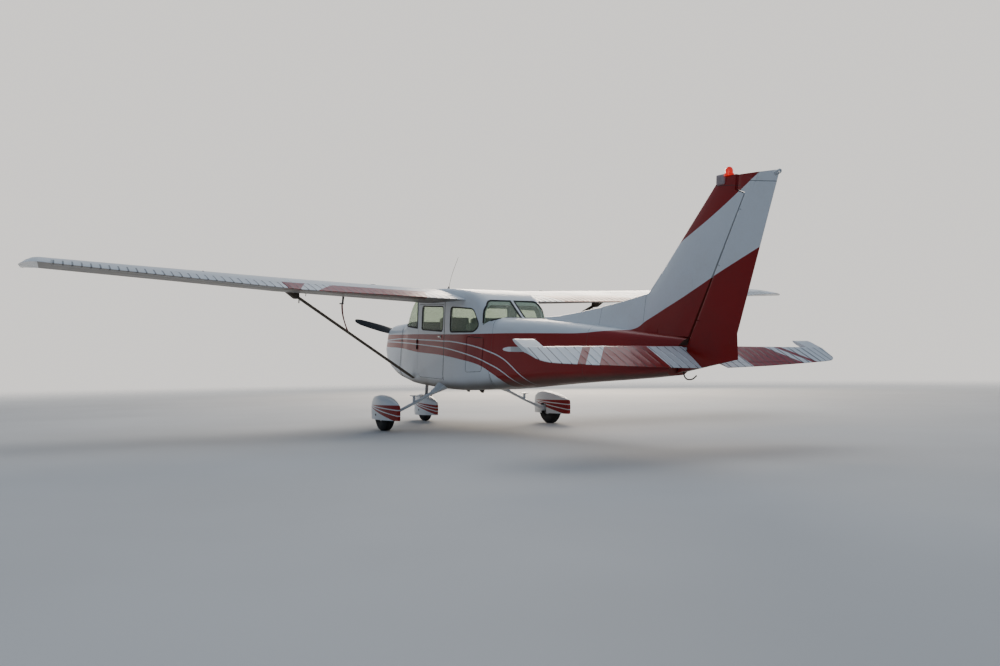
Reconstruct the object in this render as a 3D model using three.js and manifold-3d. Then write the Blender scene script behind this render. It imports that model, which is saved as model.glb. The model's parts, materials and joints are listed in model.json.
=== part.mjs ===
// A four-seat light aircraft: high wing braced by struts, one piston engine in front, fixed
// tricycle gear with faired wheels, a swept fin and a wrap-round rear window.
// Millimetres. The airframe is built level, with x = 0 at the firewall and forward, y towards the
// left wing and z up. It then pitches nose-up about the main axle onto its three tyres, and the
// origin goes to the middle of the base of the bounding box: +X forward, +Y left, +Z up.

import * as THREE from "three";
import { mergeVertices } from "three/addons/utils/BufferGeometryUtils.js";
import Module from "manifold-3d";

// Driving dimensions of the wing
const WING_ROOT_Y = 440;
const WING_KINK_Y = 2600;
const WING_TIP_Y = 5283;
const TIP_EDGE_Y = 5462;
const WING_LE_X = -610;
const ROOT_CHORD = 1626;
const TIP_CHORD = 1118;
const TIP_LE_SWEEP = 178;
const ROOT_LE_Z = 1782;
const INNER_RISE = 0.042;
const OUTER_RISE = 0.051;
const ROOT_INCIDENCE = 2.0;
const KINK_INCIDENCE = 3.0;
const TIP_INCIDENCE = 0.5;
const ROOT_THICKNESS = 0.12;
const TIP_THICKNESS = 0.096;
const ROOT_CAMBER = 0.02;
const TIP_CAMBER = 0.028;
const FLAP_INNER_Y = 566;
const FLAP_OUTER_Y = 2725;
const FLAP_NOSE_X = -1830;
const AILERON_INNER_Y = 2739;
const AILERON_OUTER_Y = 5150;
const AILERON_HINGE_INNER_X = -1905;
const AILERON_HINGE_OUTER_X = -1662;

// Driving dimensions of the tail
const ELEVATOR_HINGE_X = -5945;
const ELEVATOR_HINGE_Z = 1215;
const ELEVATOR_DROOP = 22.5;
const ELEVATOR_ROOT_CHORD = 400;
const ELEVATOR_TIP_CHORD = 300;
const STABILIZER_HALF_SPAN = 1725;
const STABILIZER_ROOT_LE_X = -5200;
const STABILIZER_TIP_LE_X = -5580;
const HORN_INNER_Y = 1530;
const HORN_LENGTH = 205;
const FIN_KINK = { x: -5374, z: 1744 };
const FIN_TOP = { x: -6330, z: 2722 };
const RUDDER_HINGE_LOW = { x: -5862, z: 1012 };
const RUDDER_HINGE_HIGH = { x: -6664, z: 2545 };
const RUDDER_TE_LOW = { x: -6587, z: 1148 };
const RUDDER_TE_KNEE = { x: -6571, z: 1365 };
const RUDDER_TE_HIGH = { x: -7006, z: 2668 };
const RUDDER_TE_TOP = { x: -7003, z: 2716 };

// Driving dimensions of the landing gear
const MAIN_AXLE = { x: -1478, y: 1270, z: 222 };
const NOSE_AXLE = { x: 173, z: 84.7 };
const PARKED_PITCH = 3.3;
const MAIN_TYRE = { radius: 222, width: 160, rim: 96 };
const NOSE_TYRE = { radius: 180, width: 126, rim: 80 };
const AXLE_RADIUS = 16;
const NOSE_STRUT_TOP = { x: 72, z: 700 };
const NOSE_STRUT_LOW = { x: 138, z: 268 };

// Driving dimensions of the propeller and walls
const PROP_X = 1040;
const PROP_Z = 1225;
const PROP_RADIUS = 895;
const PROP_PARKED_ANGLE = 14.5;
const SPINNER_RADIUS = 158;
const SPINNER_TIP_X = 1190;
const CABIN_WALL = 30;
const COWL_WALL = 12;
const TAIL_WALL = 6;
const GLASS = 5;
const SEAM = 6;
const TOUCH = 0.4;

// Fuselage sections, nose to tail. Each row: x, underside z, top z, half width low, half width at
// the top, lower corner radius, upper corner radius.
const COWL_SECTIONS = [
  [978, 985, 1318, 262, 240, 120, 120],
  [966, 935, 1338, 315, 292, 150, 150],
  [930, 878, 1352, 362, 338, 170, 165],
  [860, 808, 1364, 400, 374, 185, 172],
  [740, 730, 1377, 432, 402, 190, 172],
  [560, 660, 1390, 456, 422, 190, 170],
  [340, 602, 1403, 474, 439, 190, 165],
  [150, 570, 1414, 484, 449, 190, 160],
  [-12, 553, 1424, 489, 454, 190, 155],
];
const CABIN_SECTIONS = [
  [-24, 552, 1425, 490, 455, 190, 155],
  [-130, 541, 1434, 495, 461, 190, 150],
  [-232, 531, 1496, 500, 475, 190, 140],
  [-300, 527, 1572, 502, 484, 190, 130],
  [-380, 524, 1654, 504, 490, 190, 120],
  [-470, 522, 1735, 506, 495, 190, 110],
  [-560, 520, 1786, 509, 497, 190, 98],
  [-640, 520, 1815, 511, 497, 190, 86],
  [-700, 520, 1830, 512, 497, 190, 76],
  [-780, 520, 1847, 513, 496, 190, 68],
  [-900, 520, 1867, 515, 495, 190, 60],
  [-1080, 520, 1887, 516, 496, 190, 60],
  [-1300, 522, 1894, 518, 497, 190, 60],
  [-1550, 528, 1891, 519, 497, 190, 60],
  [-1800, 537, 1880, 518, 495, 190, 60],
  [-2060, 551, 1861, 512, 490, 190, 66],
  [-2240, 566, 1842, 505, 480, 190, 76],
  [-2400, 583, 1811, 495, 462, 190, 95],
  [-2500, 594, 1776, 488, 446, 190, 112],
  [-2570, 601, 1732, 482, 436, 190, 124],
  [-2660, 611, 1665, 475, 428, 190, 136],
  [-2780, 624, 1577, 465, 417, 190, 148],
  [-2870, 635, 1513, 457, 405, 190, 156],
  [-2905, 639, 1500, 452, 400, 190, 160],
];
const TAIL_SECTIONS = [
  [-2905.4, 639, 1500, 452, 400, 190, 160],
  [-3060, 658, 1491, 435, 381, 186, 160],
  [-3400, 698, 1484, 396, 338, 176, 158],
  [-3900, 756, 1463, 339, 281, 160, 150],
  [-4400, 811, 1434, 281, 224, 140, 132],
  [-4900, 863, 1401, 224, 170, 115, 108],
  [-5400, 918, 1364, 168, 120, 88, 80],
  [-5800, 968, 1333, 124, 82, 62, 54],
  [-6060, 1003, 1312, 96, 60, 46, 40],
];

// Blade sections, root to tip. Each row: radius, chord, thickness, pitch in degrees.
const BLADE_SECTIONS = [
  [40, 86, 62, 52],
  [150, 110, 44, 43],
  [300, 128, 27, 33],
  [460, 126, 18, 25],
  [650, 112, 12, 20],
  [800, 92, 8, 17],
  [870, 62, 6, 15],
  [PROP_RADIUS, 26, 4, 15],
];

const degrees = (value) => (value * Math.PI) / 180;
const mix = (from, to, share) => from + (to - from) * share;

const wasm = await Module();
wasm.setup();

// A closed geometry as a solid that can be joined and cut.
function solidOf(geometry) {
  const bare = geometry.clone();
  bare.deleteAttribute("normal");
  bare.deleteAttribute("uv");
  const merged = mergeVertices(bare, 1e-3);
  return new wasm.Manifold(
    new wasm.Mesh({
      numProp: 3,
      vertProperties: new Float32Array(merged.attributes.position.array),
      triVerts: new Uint32Array(merged.index.array),
    }),
  );
}

function geometryOf(solid) {
  const mesh = solid.getMesh();
  return new THREE.BufferGeometry()
    .setAttribute("position", new THREE.BufferAttribute(mesh.vertProperties, 3))
    .setIndex(new THREE.BufferAttribute(mesh.triVerts, 1));
}

// The same solid on the other side of the centre plane.
function mirrored(solid) {
  const mesh = solid.getMesh();
  const points = new Float32Array(mesh.vertProperties);
  const faces = new Uint32Array(mesh.triVerts);
  for (let i = 1; i < points.length; i += 3) points[i] *= -1;
  for (let i = 0; i < faces.length; i += 3) [faces[i], faces[i + 1]] = [faces[i + 1], faces[i]];
  return new wasm.Manifold(
    new wasm.Mesh({ numProp: 3, vertProperties: points, triVerts: faces }),
  );
}

const onSide = (solid, side) => (side > 0 ? solid : mirrored(solid));
const joined = (...solids) => solids.reduce((sum, solid) => sum.add(solid));

// The solid with a thin clearance all round, for cutting what touches it.
function grown(solid) {
  const steps = [[TOUCH, 0, 0], [0, TOUCH, 0], [0, 0, TOUCH]];
  return steps.reduce(
    (sum, step) => sum.add(solid.translate(step)).add(solid.translate(step.map((v) => -v))),
    solid,
  );
}

// A solid made about the origin, with its x turned to face forward and its y along a hinge axis.
function placed(solid, origin, axis, forward) {
  const y = new THREE.Vector3(...axis).normalize();
  const ahead = new THREE.Vector3(...forward);
  const x = ahead.clone().addScaledVector(y, -y.dot(ahead)).normalize();
  const z = new THREE.Vector3().crossVectors(x, y);
  const geometry = geometryOf(solid);
  geometry.applyMatrix4(new THREE.Matrix4().makeBasis(x, y, z).setPosition(...origin));
  return solidOf(geometry);
}

// A hinge lug that reaches back from a fixed surface to the hinge line, and the slot for it in the
// nose of the moving surface.
const LUG = { thickness: 8, eye: 11, reach: 62 };
function hingeLug(origin, axis) {
  const half = LUG.thickness / 2;
  const eye = bar([0, -half, 0], [0, half, 0], LUG.eye, LUG.eye, 12);
  return placed(eye.add(box([0, -half, -9], [LUG.reach, half, 9])), origin, axis, [1, 0, 0]);
}
function lugSlot(origin, axis) {
  const half = LUG.thickness / 2 + TOUCH;
  const room = box([-LUG.eye - 5, -half, -60], [LUG.reach, half, 60]);
  return placed(room, origin, axis, [1, 0, 0]);
}

function signedVolume(points, index) {
  let volume = 0;
  for (let i = 0; i < index.length; i += 3) {
    const [a, b, c] = [points[index[i]], points[index[i + 1]], points[index[i + 2]]];
    volume += a[0] * (b[1] * c[2] - b[2] * c[1]);
    volume += a[1] * (b[2] * c[0] - b[0] * c[2]);
    volume += a[2] * (b[0] * c[1] - b[1] * c[0]);
  }
  return volume;
}

// A skin through rings of points, one ring for each section, closed by a fan at each end.
function loft(rings) {
  const size = rings[0].length;
  const points = rings.flat();
  const index = [];
  for (let ring = 0; ring < rings.length - 1; ring += 1) {
    for (let i = 0; i < size; i += 1) {
      const a = ring * size + i;
      const b = ring * size + ((i + 1) % size);
      index.push(a, b, b + size, a, b + size, a + size);
    }
  }
  const last = (rings.length - 1) * size;
  for (const [start, flip] of [[0, true], [last, false]]) {
    const ring = points.slice(start, start + size);
    const middle = [0, 1, 2].map((axis) => ring.reduce((sum, p) => sum + p[axis], 0) / size);
    points.push(middle);
    for (let i = 0; i < size; i += 1) {
      const pair = [start + i, start + ((i + 1) % size)];
      if (flip) pair.reverse();
      index.push(points.length - 1, pair[0], pair[1]);
    }
  }
  if (signedVolume(points, index) < 0) {
    for (let i = 0; i < index.length; i += 3) [index[i], index[i + 1]] = [index[i + 1], index[i]];
  }
  const geometry = new THREE.BufferGeometry();
  geometry.setAttribute("position", new THREE.Float32BufferAttribute(points.flat(), 3));
  geometry.setIndex(index);
  return solidOf(geometry);
}

function box(low, high) {
  const size = high.map((value, axis) => value - low[axis]);
  const geometry = new THREE.BoxGeometry(...size);
  geometry.translate(...low.map((value, axis) => value + size[axis] / 2));
  return solidOf(geometry);
}

// A round bar or tapered bar between two points.
function bar(from, to, fromRadius, toRadius = fromRadius, sides = 16) {
  const start = new THREE.Vector3(...from);
  const run = new THREE.Vector3(...to).sub(start);
  const geometry = new THREE.CylinderGeometry(toRadius, fromRadius, run.length(), sides);
  geometry.translate(0, run.length() / 2, 0);
  const turn = new THREE.Quaternion();
  turn.setFromUnitVectors(new THREE.Vector3(0, 1, 0), run.clone().normalize());
  geometry.applyQuaternion(turn);
  geometry.translate(start.x, start.y, start.z);
  return solidOf(geometry);
}

// A round tube that follows a smooth line through points.
function pipe(points, radius, steps, sides = 10) {
  const circle = new THREE.Shape();
  circle.absarc(0, 0, radius, 0, Math.PI * 2);
  const path = new THREE.CatmullRomCurve3(points.map((p) => new THREE.Vector3(...p)));
  const settings = { extrudePath: path, steps, curveSegments: sides / 2, bevelEnabled: false };
  return solidOf(new THREE.ExtrudeGeometry(circle, settings));
}

// A body of revolution about an axis along x, y or z, from a profile of [radius, along] points.
function turned(profile, sides, axis, centre) {
  const points = profile.map(([radius, along]) => new THREE.Vector2(radius, along));
  const geometry = new THREE.LatheGeometry(points, sides);
  if (axis === "x") geometry.rotateZ(-Math.PI / 2);
  if (axis === "z") geometry.rotateX(Math.PI / 2);
  geometry.translate(...centre);
  const made = solidOf(geometry);
  return made.volume() < 0 ? solidOf(flipped(geometry)) : made;
}

function flipped(geometry) {
  const copy = geometry.clone();
  const index = Array.from(copy.index.array);
  for (let i = 0; i < index.length; i += 3) [index[i], index[i + 1]] = [index[i + 1], index[i]];
  copy.setIndex(index);
  return copy;
}

// A flat outline of [x, z] corners, each rounded by its radius.
function roundedOutline(corners, radius) {
  const shape = new THREE.Shape();
  corners.forEach(([x, z], i) => {
    const before = corners[(i + corners.length - 1) % corners.length];
    const after = corners[(i + 1) % corners.length];
    const lead = Math.hypot(before[0] - x, before[1] - z);
    const trail = Math.hypot(after[0] - x, after[1] - z);
    const reach = Math.min(radius, lead / 2.2, trail / 2.2);
    const into = [x + ((before[0] - x) * reach) / lead, z + ((before[1] - z) * reach) / lead];
    const out = [x + ((after[0] - x) * reach) / trail, z + ((after[1] - z) * reach) / trail];
    if (i === 0) shape.moveTo(...into);
    else shape.lineTo(...into);
    if (radius > 0) shape.quadraticCurveTo(x, z, ...out);
  });
  shape.closePath();
  return shape;
}

// An outline of [x, z] corners carried from one y to another.
function sidePrism(corners, fromY, toY, radius = 0) {
  const outline = roundedOutline(corners, radius);
  const settings = { depth: toY - fromY, bevelEnabled: false, curveSegments: 4 };
  const geometry = new THREE.ExtrudeGeometry(outline, settings);
  geometry.rotateX(Math.PI / 2);
  geometry.translate(0, toY, 0);
  return solidOf(geometry);
}

// The outline drawn in by a margin, for convex outlines given in either direction.
function inset(corners, margin) {
  const middle = [0, 1].map((axis) => corners.reduce((sum, p) => sum + p[axis], 0) / corners.length);
  const count = corners.length;
  const edges = corners.map((corner, i) => {
    const next = corners[(i + 1) % count];
    const length = Math.hypot(next[0] - corner[0], next[1] - corner[1]);
    let normal = [-(next[1] - corner[1]) / length, (next[0] - corner[0]) / length];
    const towards = (middle[0] - corner[0]) * normal[0] + (middle[1] - corner[1]) * normal[1];
    if (towards < 0) normal = [-normal[0], -normal[1]];
    return { normal, offset: corner[0] * normal[0] + corner[1] * normal[1] + margin };
  });
  return corners.map((_, i) => {
    const a = edges[(i + count - 1) % count];
    const b = edges[i];
    const cross = a.normal[0] * b.normal[1] - a.normal[1] * b.normal[0];
    const x = (a.offset * b.normal[1] - b.offset * a.normal[1]) / cross;
    const z = (b.offset * a.normal[0] - a.offset * b.normal[0]) / cross;
    return [x, z];
  });
}

// One fuselage section as a ring: a box with round corners that leans in towards its top.
const CORNER_STEPS = 5;
function bodyRing([x, low, high, wide, top, lowRadius, highRadius], grow) {
  const corners = [
    { y: wide - lowRadius, z: low + lowRadius, radius: lowRadius, from: -90 },
    { y: top - highRadius, z: high - highRadius, radius: highRadius, from: 0 },
    { y: highRadius - top, z: high - highRadius, radius: highRadius, from: 90 },
    { y: lowRadius - wide, z: low + lowRadius, radius: lowRadius, from: 180 },
  ];
  return corners.flatMap(({ y, z, radius, from }) =>
    Array.from({ length: CORNER_STEPS + 1 }, (_, step) => {
      const angle = degrees(from + (90 * step) / CORNER_STEPS);
      const reach = radius + grow;
      return [x, y + reach * Math.cos(angle), z + reach * Math.sin(angle)];
    }),
  );
}

const bodyLoft = (sections, grow = 0) => loft(sections.map((row) => bodyRing(row, grow)));

// The table's section at any x, straight between the rows.
function sectionAt(sections, x) {
  const i = Math.min(
    sections.findIndex((row, n) => n + 1 < sections.length && sections[n + 1][0] <= x),
    sections.length - 2,
  );
  const [front, back] = [sections[i], sections[i + 1]];
  const share = (x - front[0]) / (back[0] - front[0]);
  return front.map((value, column) => mix(value, back[column], share));
}

// A wing section as [chord share, height share] points, from the trailing edge over the top.
function foil(thickness, camber, steps) {
  const upper = [];
  const lower = [];
  const edge = 0.0016;
  for (let i = 0; i <= steps; i += 1) {
    const s = 0.5 * (1 + Math.cos((Math.PI * i) / steps));
    const bulge =
      0.2969 * Math.sqrt(s) - 0.126 * s - 0.3516 * s ** 2 + 0.2843 * s ** 3 - 0.1036 * s ** 4;
    const half = 5 * thickness * bulge + edge * s;
    const peak = 0.4;
    const rise =
      s < peak
        ? (camber / peak ** 2) * (2 * peak * s - s ** 2)
        : (camber / (1 - peak) ** 2) * (1 - 2 * peak + 2 * peak * s - s ** 2);
    upper.push([s, rise + half]);
    if (i < steps) lower.unshift([s, rise - half]);
  }
  return [...upper, ...lower];
}

const FOIL_STEPS = 14;
const FOIL_POINTS = 2 * FOIL_STEPS + 1;
const ROOT_FOIL = foil(ROOT_THICKNESS, ROOT_CAMBER, FOIL_STEPS);
const TIP_FOIL = foil(TIP_THICKNESS, TIP_CAMBER, FOIL_STEPS);

// The wing section at a span position, between the root's and the tip's.
function wingFoil(y) {
  const share = (Math.min(y, WING_TIP_Y) - WING_ROOT_Y) / (WING_TIP_Y - WING_ROOT_Y);
  return ROOT_FOIL.map(([s, t], i) => [s, mix(t, TIP_FOIL[i][1], share)]);
}

// The wing's chord line at a span position: leading edge x and z, chord and incidence.
function wingAt(y) {
  const outer = Math.max(0, (y - WING_KINK_Y) / (WING_TIP_Y - WING_KINK_Y));
  const inner = Math.min(y, WING_KINK_Y) - WING_ROOT_Y;
  const turn = mix(ROOT_INCIDENCE, KINK_INCIDENCE, inner / (WING_KINK_Y - WING_ROOT_Y));
  return {
    x: WING_LE_X - TIP_LE_SWEEP * outer,
    z: ROOT_LE_Z + INNER_RISE * inner + OUTER_RISE * Math.max(0, y - WING_KINK_Y),
    chord: mix(ROOT_CHORD, TIP_CHORD, outer),
    incidence: degrees(mix(turn, TIP_INCIDENCE, outer)),
  };
}

// A ring in a plane of constant y. Heights may be scaled and the ring lowered for the wing tip.
function wingRing(y, { shrink = 1, flatten = 1, drop = 0, grow = 0 } = {}) {
  const { x, z, chord, incidence } = wingAt(Math.min(y, WING_TIP_Y));
  const reach = chord * shrink;
  const front = (chord - reach) * 0.55;
  return wingFoil(y).map(([s, t]) => {
    const along = front + s * reach;
    const up = t * reach * flatten + Math.sign(t || 1) * grow;
    return [
      x - along * Math.cos(incidence) + up * Math.sin(incidence),
      y,
      z - along * Math.sin(incidence) + up * Math.cos(incidence) - drop,
    ];
  });
}

// The height of the wing's lower or upper skin at a place in plan.
function wingSkinZ(x, y, upper) {
  const { x: edge, z, chord, incidence } = wingAt(y);
  const share = (edge - x) / chord;
  const ring = wingFoil(y);
  const half = ring.slice(0, FOIL_STEPS + 1).map((p, i) => (upper ? p : ring[FOIL_POINTS - 1 - i]));
  const i = half.findIndex(([s]) => s <= share);
  const [far, near] = [half[i - 1], half[i]];
  const t = mix(near[1], far[1], (share - near[0]) / (far[0] - near[0]));
  return z - share * chord * Math.sin(incidence) + t * chord;
}

const pieces = [];
const piece = (name, solid, finish) => pieces.push({ name, solid, finish });

const FINISH = {
  white: { color: 0xe9e9e4, roughness: 0.3, metalness: 0 },
  red: { color: 0x8c1c14, roughness: 0.3, metalness: 0 },
  glass: { color: 0xb8c8b4, roughness: 0.05, metalness: 0, transparent: true, opacity: 0.35 },
  rubber: { color: 0x18181a, roughness: 0.85, metalness: 0 },
  steel: { color: 0x8b8d90, roughness: 0.4, metalness: 0.9 },
  black: { color: 0x121212, roughness: 0.4, metalness: 0.1 },
  cloth: { color: 0x5d5a52, roughness: 0.95, metalness: 0 },
  panel: { color: 0x202022, roughness: 0.7, metalness: 0 },
  lens: { color: 0xd01810, roughness: 0.1, metalness: 0 },
  ribbon: { color: 0x7a2a20, roughness: 0.9, metalness: 0 },
};

// Fuselage outlines seen from the side, as [x, z] corners
const DOOR = [[-725, 1690], [-1640, 1678], [-1640, 668], [-800, 652], [-725, 740]];
const DOOR_WINDOW = [[-862, 1662], [-1598, 1648], [-1590, 1312], [-848, 1328]];
const SIDE_WINDOW = [[-1815, 1640], [-2425, 1612], [-2570, 1394], [-2455, 1320], [-1812, 1306]];
const BAGGAGE_DOOR = [[-2290, 1262], [-2690, 1250], [-2690, 830], [-2290, 800]];
const WINDSHIELD = [
  [-110, 1418], [-300, 1366], [-694, 1346], [-694, 1742], [-648, 1806], [-110, 1806],
];
const REAR_WINDOW = [
  [-2648, 1410], [-2893, 1492], [-3100, 1700], [-2700, 1900], [-2553, 1765], [-2640, 1642],
];

// The cabin: a shell from the firewall to the tail cone joint, hollow inside, with its doors,
// baggage door and windows cut out.
const cabinOuter = bodyLoft(CABIN_SECTIONS);
const cabinClear = bodyLoft(CABIN_SECTIONS, TOUCH);
const FLOOR_Z = 600;
const CEILING_Z = 1712;
const CAVITY_X = [-54, -232, -300, -470, -640, -780, -1080, -1800, -2400, -2570, -2780, -2868];
function cabinInside(clearance) {
  return loft(
    CAVITY_X.map((x) => {
      const row = sectionAt(CABIN_SECTIONS, x);
      row[2] = Math.min(row[2], CEILING_Z + CABIN_WALL);
      row[1] = Math.max(row[1] + CABIN_WALL, FLOOR_Z - CABIN_WALL);
      return bodyRing(row, -CABIN_WALL - clearance);
    }),
  );
}
const cabinWall = cabinOuter.subtract(cabinInside(0));
const cabinRoom = cabinInside(TOUCH);
const HALF_BODY = 700;
const rearWindowPrism = sidePrism(REAR_WINDOW, 26, HALF_BODY, 20);

// The firewall's front plate and the flange round it that the cowling's rear edge sits on, both open
// below for the air.
const FIREWALL_FRONT_X = -4.5;
const COWL_BACK = [-40, 553, 1424, 489, 454, 190, 155];
const flangeRows = [-30, 10].map((x) => sectionAt([COWL_SECTIONS[7], COWL_BACK], x));
const flangeHole = flangeRows.map(([x, ...rest]) => [x === 10 ? 20 : FIREWALL_FRONT_X, ...rest]);
const firewallLip = bodyLoft(flangeRows, -COWL_WALL - 2 * TOUCH)
  .subtract(bodyLoft(flangeHole, -COWL_WALL - 14))
  .subtract(box([-24, -210, 500], [60, 210, 691]));
let cabin = cabinWall
  .add(firewallLip)
  .subtract(sidePrism(WINDSHIELD, -HALF_BODY, HALF_BODY, 0))
  .subtract(sidePrism(BAGGAGE_DOOR, 0, HALF_BODY, 45))
  .subtract(rearWindowPrism)
  .subtract(mirrored(rearWindowPrism));
for (const side of [1, -1]) {
  cabin = cabin
    .subtract(onSide(sidePrism(DOOR, 250, HALF_BODY, 60), side))
    .subtract(onSide(sidePrism(SIDE_WINDOW, 250, HALF_BODY, 70), side));
}

// Small hinge blocks in the front seam of each door, each at a height with its outer face's y.
function seamBlocks(edgeX, heights) {
  return heights.map(([z, outerY]) =>
    box([edgeX - SEAM + TOUCH, outerY - 16, z], [edgeX + 12, outerY, z + 55]),
  );
}
for (const block of seamBlocks(DOOR[0][0], [[860, 500], [1440, 485]])) {
  cabin = cabin.add(block).add(mirrored(block));
}
for (const block of seamBlocks(BAGGAGE_DOOR[0][0], [[880, 492], [1160, 484]])) {
  cabin = cabin.add(block);
}
piece("cabin", cabin, FINISH.white);

// Panes lie inside the wall, a few millimetres below the outer skin.
const paneShell = bodyLoft(CABIN_SECTIONS, -4).subtract(bodyLoft(CABIN_SECTIONS, -4 - GLASS));
const windshieldPrism = sidePrism(inset(WINDSHIELD, TOUCH), -HALF_BODY, HALF_BODY, 0);
piece("windshield", paneShell.intersect(windshieldPrism), FINISH.glass);
for (const [word, side] of [["left", 1], ["right", -1]]) {
  const doorPrism = sidePrism(inset(DOOR, SEAM), 250, HALF_BODY, 56);
  const windowHole = sidePrism(DOOR_WINDOW, 250, HALF_BODY, 55);
  const doorPane = sidePrism(inset(DOOR_WINDOW, TOUCH), 250, HALF_BODY, 55);
  const sidePane = sidePrism(inset(SIDE_WINDOW, TOUCH), 250, HALF_BODY, 70);
  const rearPane = sidePrism(inset(REAR_WINDOW, TOUCH), 26 + TOUCH, HALF_BODY, 20);
  piece(`door_${word}`, onSide(cabinWall.intersect(doorPrism).subtract(windowHole), side), FINISH.white);
  piece(`door_window_${word}`, onSide(paneShell.intersect(doorPane), side), FINISH.glass);
  piece(`side_window_${word}`, onSide(paneShell.intersect(sidePane), side), FINISH.glass);
  piece(`rear_window_${word}`, onSide(paneShell.intersect(rearPane), side), FINISH.glass);
}
piece(
  "baggage_door",
  cabinWall.intersect(sidePrism(inset(BAGGAGE_DOOR, SEAM), 0, HALF_BODY, 42)),
  FINISH.red,
);

// The cowling: a lower half with the nose cap, its air inlets and the outlet behind, and an upper
// half that lifts off.
const COWL_SPLIT_Z = 1150;
const NOSE_CAP_X = 872;
const cowlCavity = bodyLoft(
  [[950, ...COWL_SECTIONS[1].slice(1)], ...COWL_SECTIONS.slice(2, -1), COWL_BACK],
  -COWL_WALL,
);
const cowlShell = bodyLoft(COWL_SECTIONS).subtract(cowlCavity);
const upperCut = box([-60, -600, COWL_SPLIT_Z], [NOSE_CAP_X, 600, 1600]);
const upperKeep = box([-60, -600, COWL_SPLIT_Z + TOUCH], [NOSE_CAP_X - TOUCH, 600, 1600]);
piece("cowl_upper", cowlShell.intersect(upperKeep), FINISH.white);
let cowlLower = cowlShell
  .subtract(upperCut)
  .subtract(bar([880, 0, PROP_Z], [1000, 0, PROP_Z], 70, 70, 24))
  .subtract(box([-40, -210, 500], [225, 210, 680]));
for (const side of [1, -1]) {
  const inlet = [[132, 1158], [132, 1262], [268, 1258], [268, 1158]];
  const outline = roundedOutline(inlet, 45);
  const settings = { depth: 200, bevelEnabled: false, curveSegments: 4 };
  const geometry = new THREE.ExtrudeGeometry(outline, settings);
  geometry.rotateY(Math.PI / 2);
  geometry.rotateX(Math.PI / 2);
  geometry.translate(850, 0, 0);
  cowlLower = cowlLower.subtract(onSide(solidOf(geometry), side));
}
piece("cowl_lower", cowlLower, FINISH.white);

// The engine: one plain block with its sump, crankshaft and the tubes of its mount.
const ENGINE_REAR_X = 90;
const SUMP_Z = 762;
let engine = joined(
  box([ENGINE_REAR_X, -360, 850], [700, 360, 1290]),
  box([699, -330, 882], [850, 330, 1276]),
  box([240, -200, SUMP_Z], [700, 200, 851]),
  bar([790, 0, PROP_Z], [990.6, 0, PROP_Z], 46, 46, 16),
);
for (const side of [1, -1]) {
  for (const z of [940, 1200]) {
    const foot = [-40, side * 300, z - 40];
    engine = engine.add(bar(foot, [ENGINE_REAR_X + 20, side * 250, z], 14, 14, 8));
  }
}
piece("engine", engine.subtract(box([-100, -600, 500], [FIREWALL_FRONT_X + TOUCH, 600, 1500])), FINISH.steel);

// The tail cone: a long thin shell whose aft end is cut along the rudder's hinge line.
function hingeX(z) {
  const share = (z - RUDDER_HINGE_LOW.z) / (RUDDER_HINGE_HIGH.z - RUDDER_HINGE_LOW.z);
  return mix(RUDDER_HINGE_LOW.x, RUDDER_HINGE_HIGH.x, share);
}
const RUDDER_GAP = 8;
const RUDDER_NOSE = 34;
const aftCut = sidePrism(
  [
    [hingeX(900) + RUDDER_NOSE + RUDDER_GAP, 900],
    [hingeX(1500) + RUDDER_NOSE + RUDDER_GAP, 1500],
    [-6500, 1500],
    [-6500, 900],
  ],
  -300,
  300,
);
const tailCavity = loft(
  [-2900, -3400, -4400, -5400, -5720].map((x) =>
    bodyRing(sectionAt(TAIL_SECTIONS, Math.min(x, -2905.4)).map((v, i) => (i ? v : x)), -TAIL_WALL),
  ),
);
const tailBody = bodyLoft(TAIL_SECTIONS).subtract(aftCut);

// The tailplane, in one piece through the tail cone, and the elevator behind it, whose two halves
// share a torque tube and stand drooped on their down stop.
const STABILIZER_PITCH = degrees(-2);
const stabilizerFoil = foil(0.066, 0, 8);
function stabilizerRing(y) {
  const share = Math.abs(y) / STABILIZER_HALF_SPAN;
  const front = mix(STABILIZER_ROOT_LE_X, STABILIZER_TIP_LE_X, share);
  const full = front - (ELEVATOR_HINGE_X - mix(ELEVATOR_ROOT_CHORD, ELEVATOR_TIP_CHORD, share));
  return stabilizerFoil.map(([s, t]) => {
    const x = front - s * full;
    const lift = (x - ELEVATOR_HINGE_X) * Math.sin(STABILIZER_PITCH);
    return [x, y, ELEVATOR_HINGE_Z + lift + t * full];
  });
}
const ELEVATOR_NOSE = 27;
const elevatorGap = ELEVATOR_NOSE + SEAM;
let stabilizer = loft([-STABILIZER_HALF_SPAN, 0, STABILIZER_HALF_SPAN].map(stabilizerRing))
  .subtract(box([-6500, -2000, 1000], [ELEVATOR_HINGE_X + elevatorGap, 2000, 1400]));
for (const side of [1, -1]) {
  const hornRoom = box(
    [-6500, HORN_INNER_Y - SEAM, 1000],
    [ELEVATOR_HINGE_X + HORN_LENGTH + SEAM + 6, 2000, 1400],
  );
  stabilizer = stabilizer.subtract(onSide(hornRoom, side));
}
const ELEVATOR_LUG_Y = [440, 1240];
const elevatorHinge = (y) => [[ELEVATOR_HINGE_X, y, ELEVATOR_HINGE_Z], [0, 1, 0]];
for (const y of ELEVATOR_LUG_Y.flatMap((v) => [v, -v])) {
  stabilizer = stabilizer.add(hingeLug(...elevatorHinge(y)));
}
piece("stabilizer", stabilizer, FINISH.white);

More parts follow.
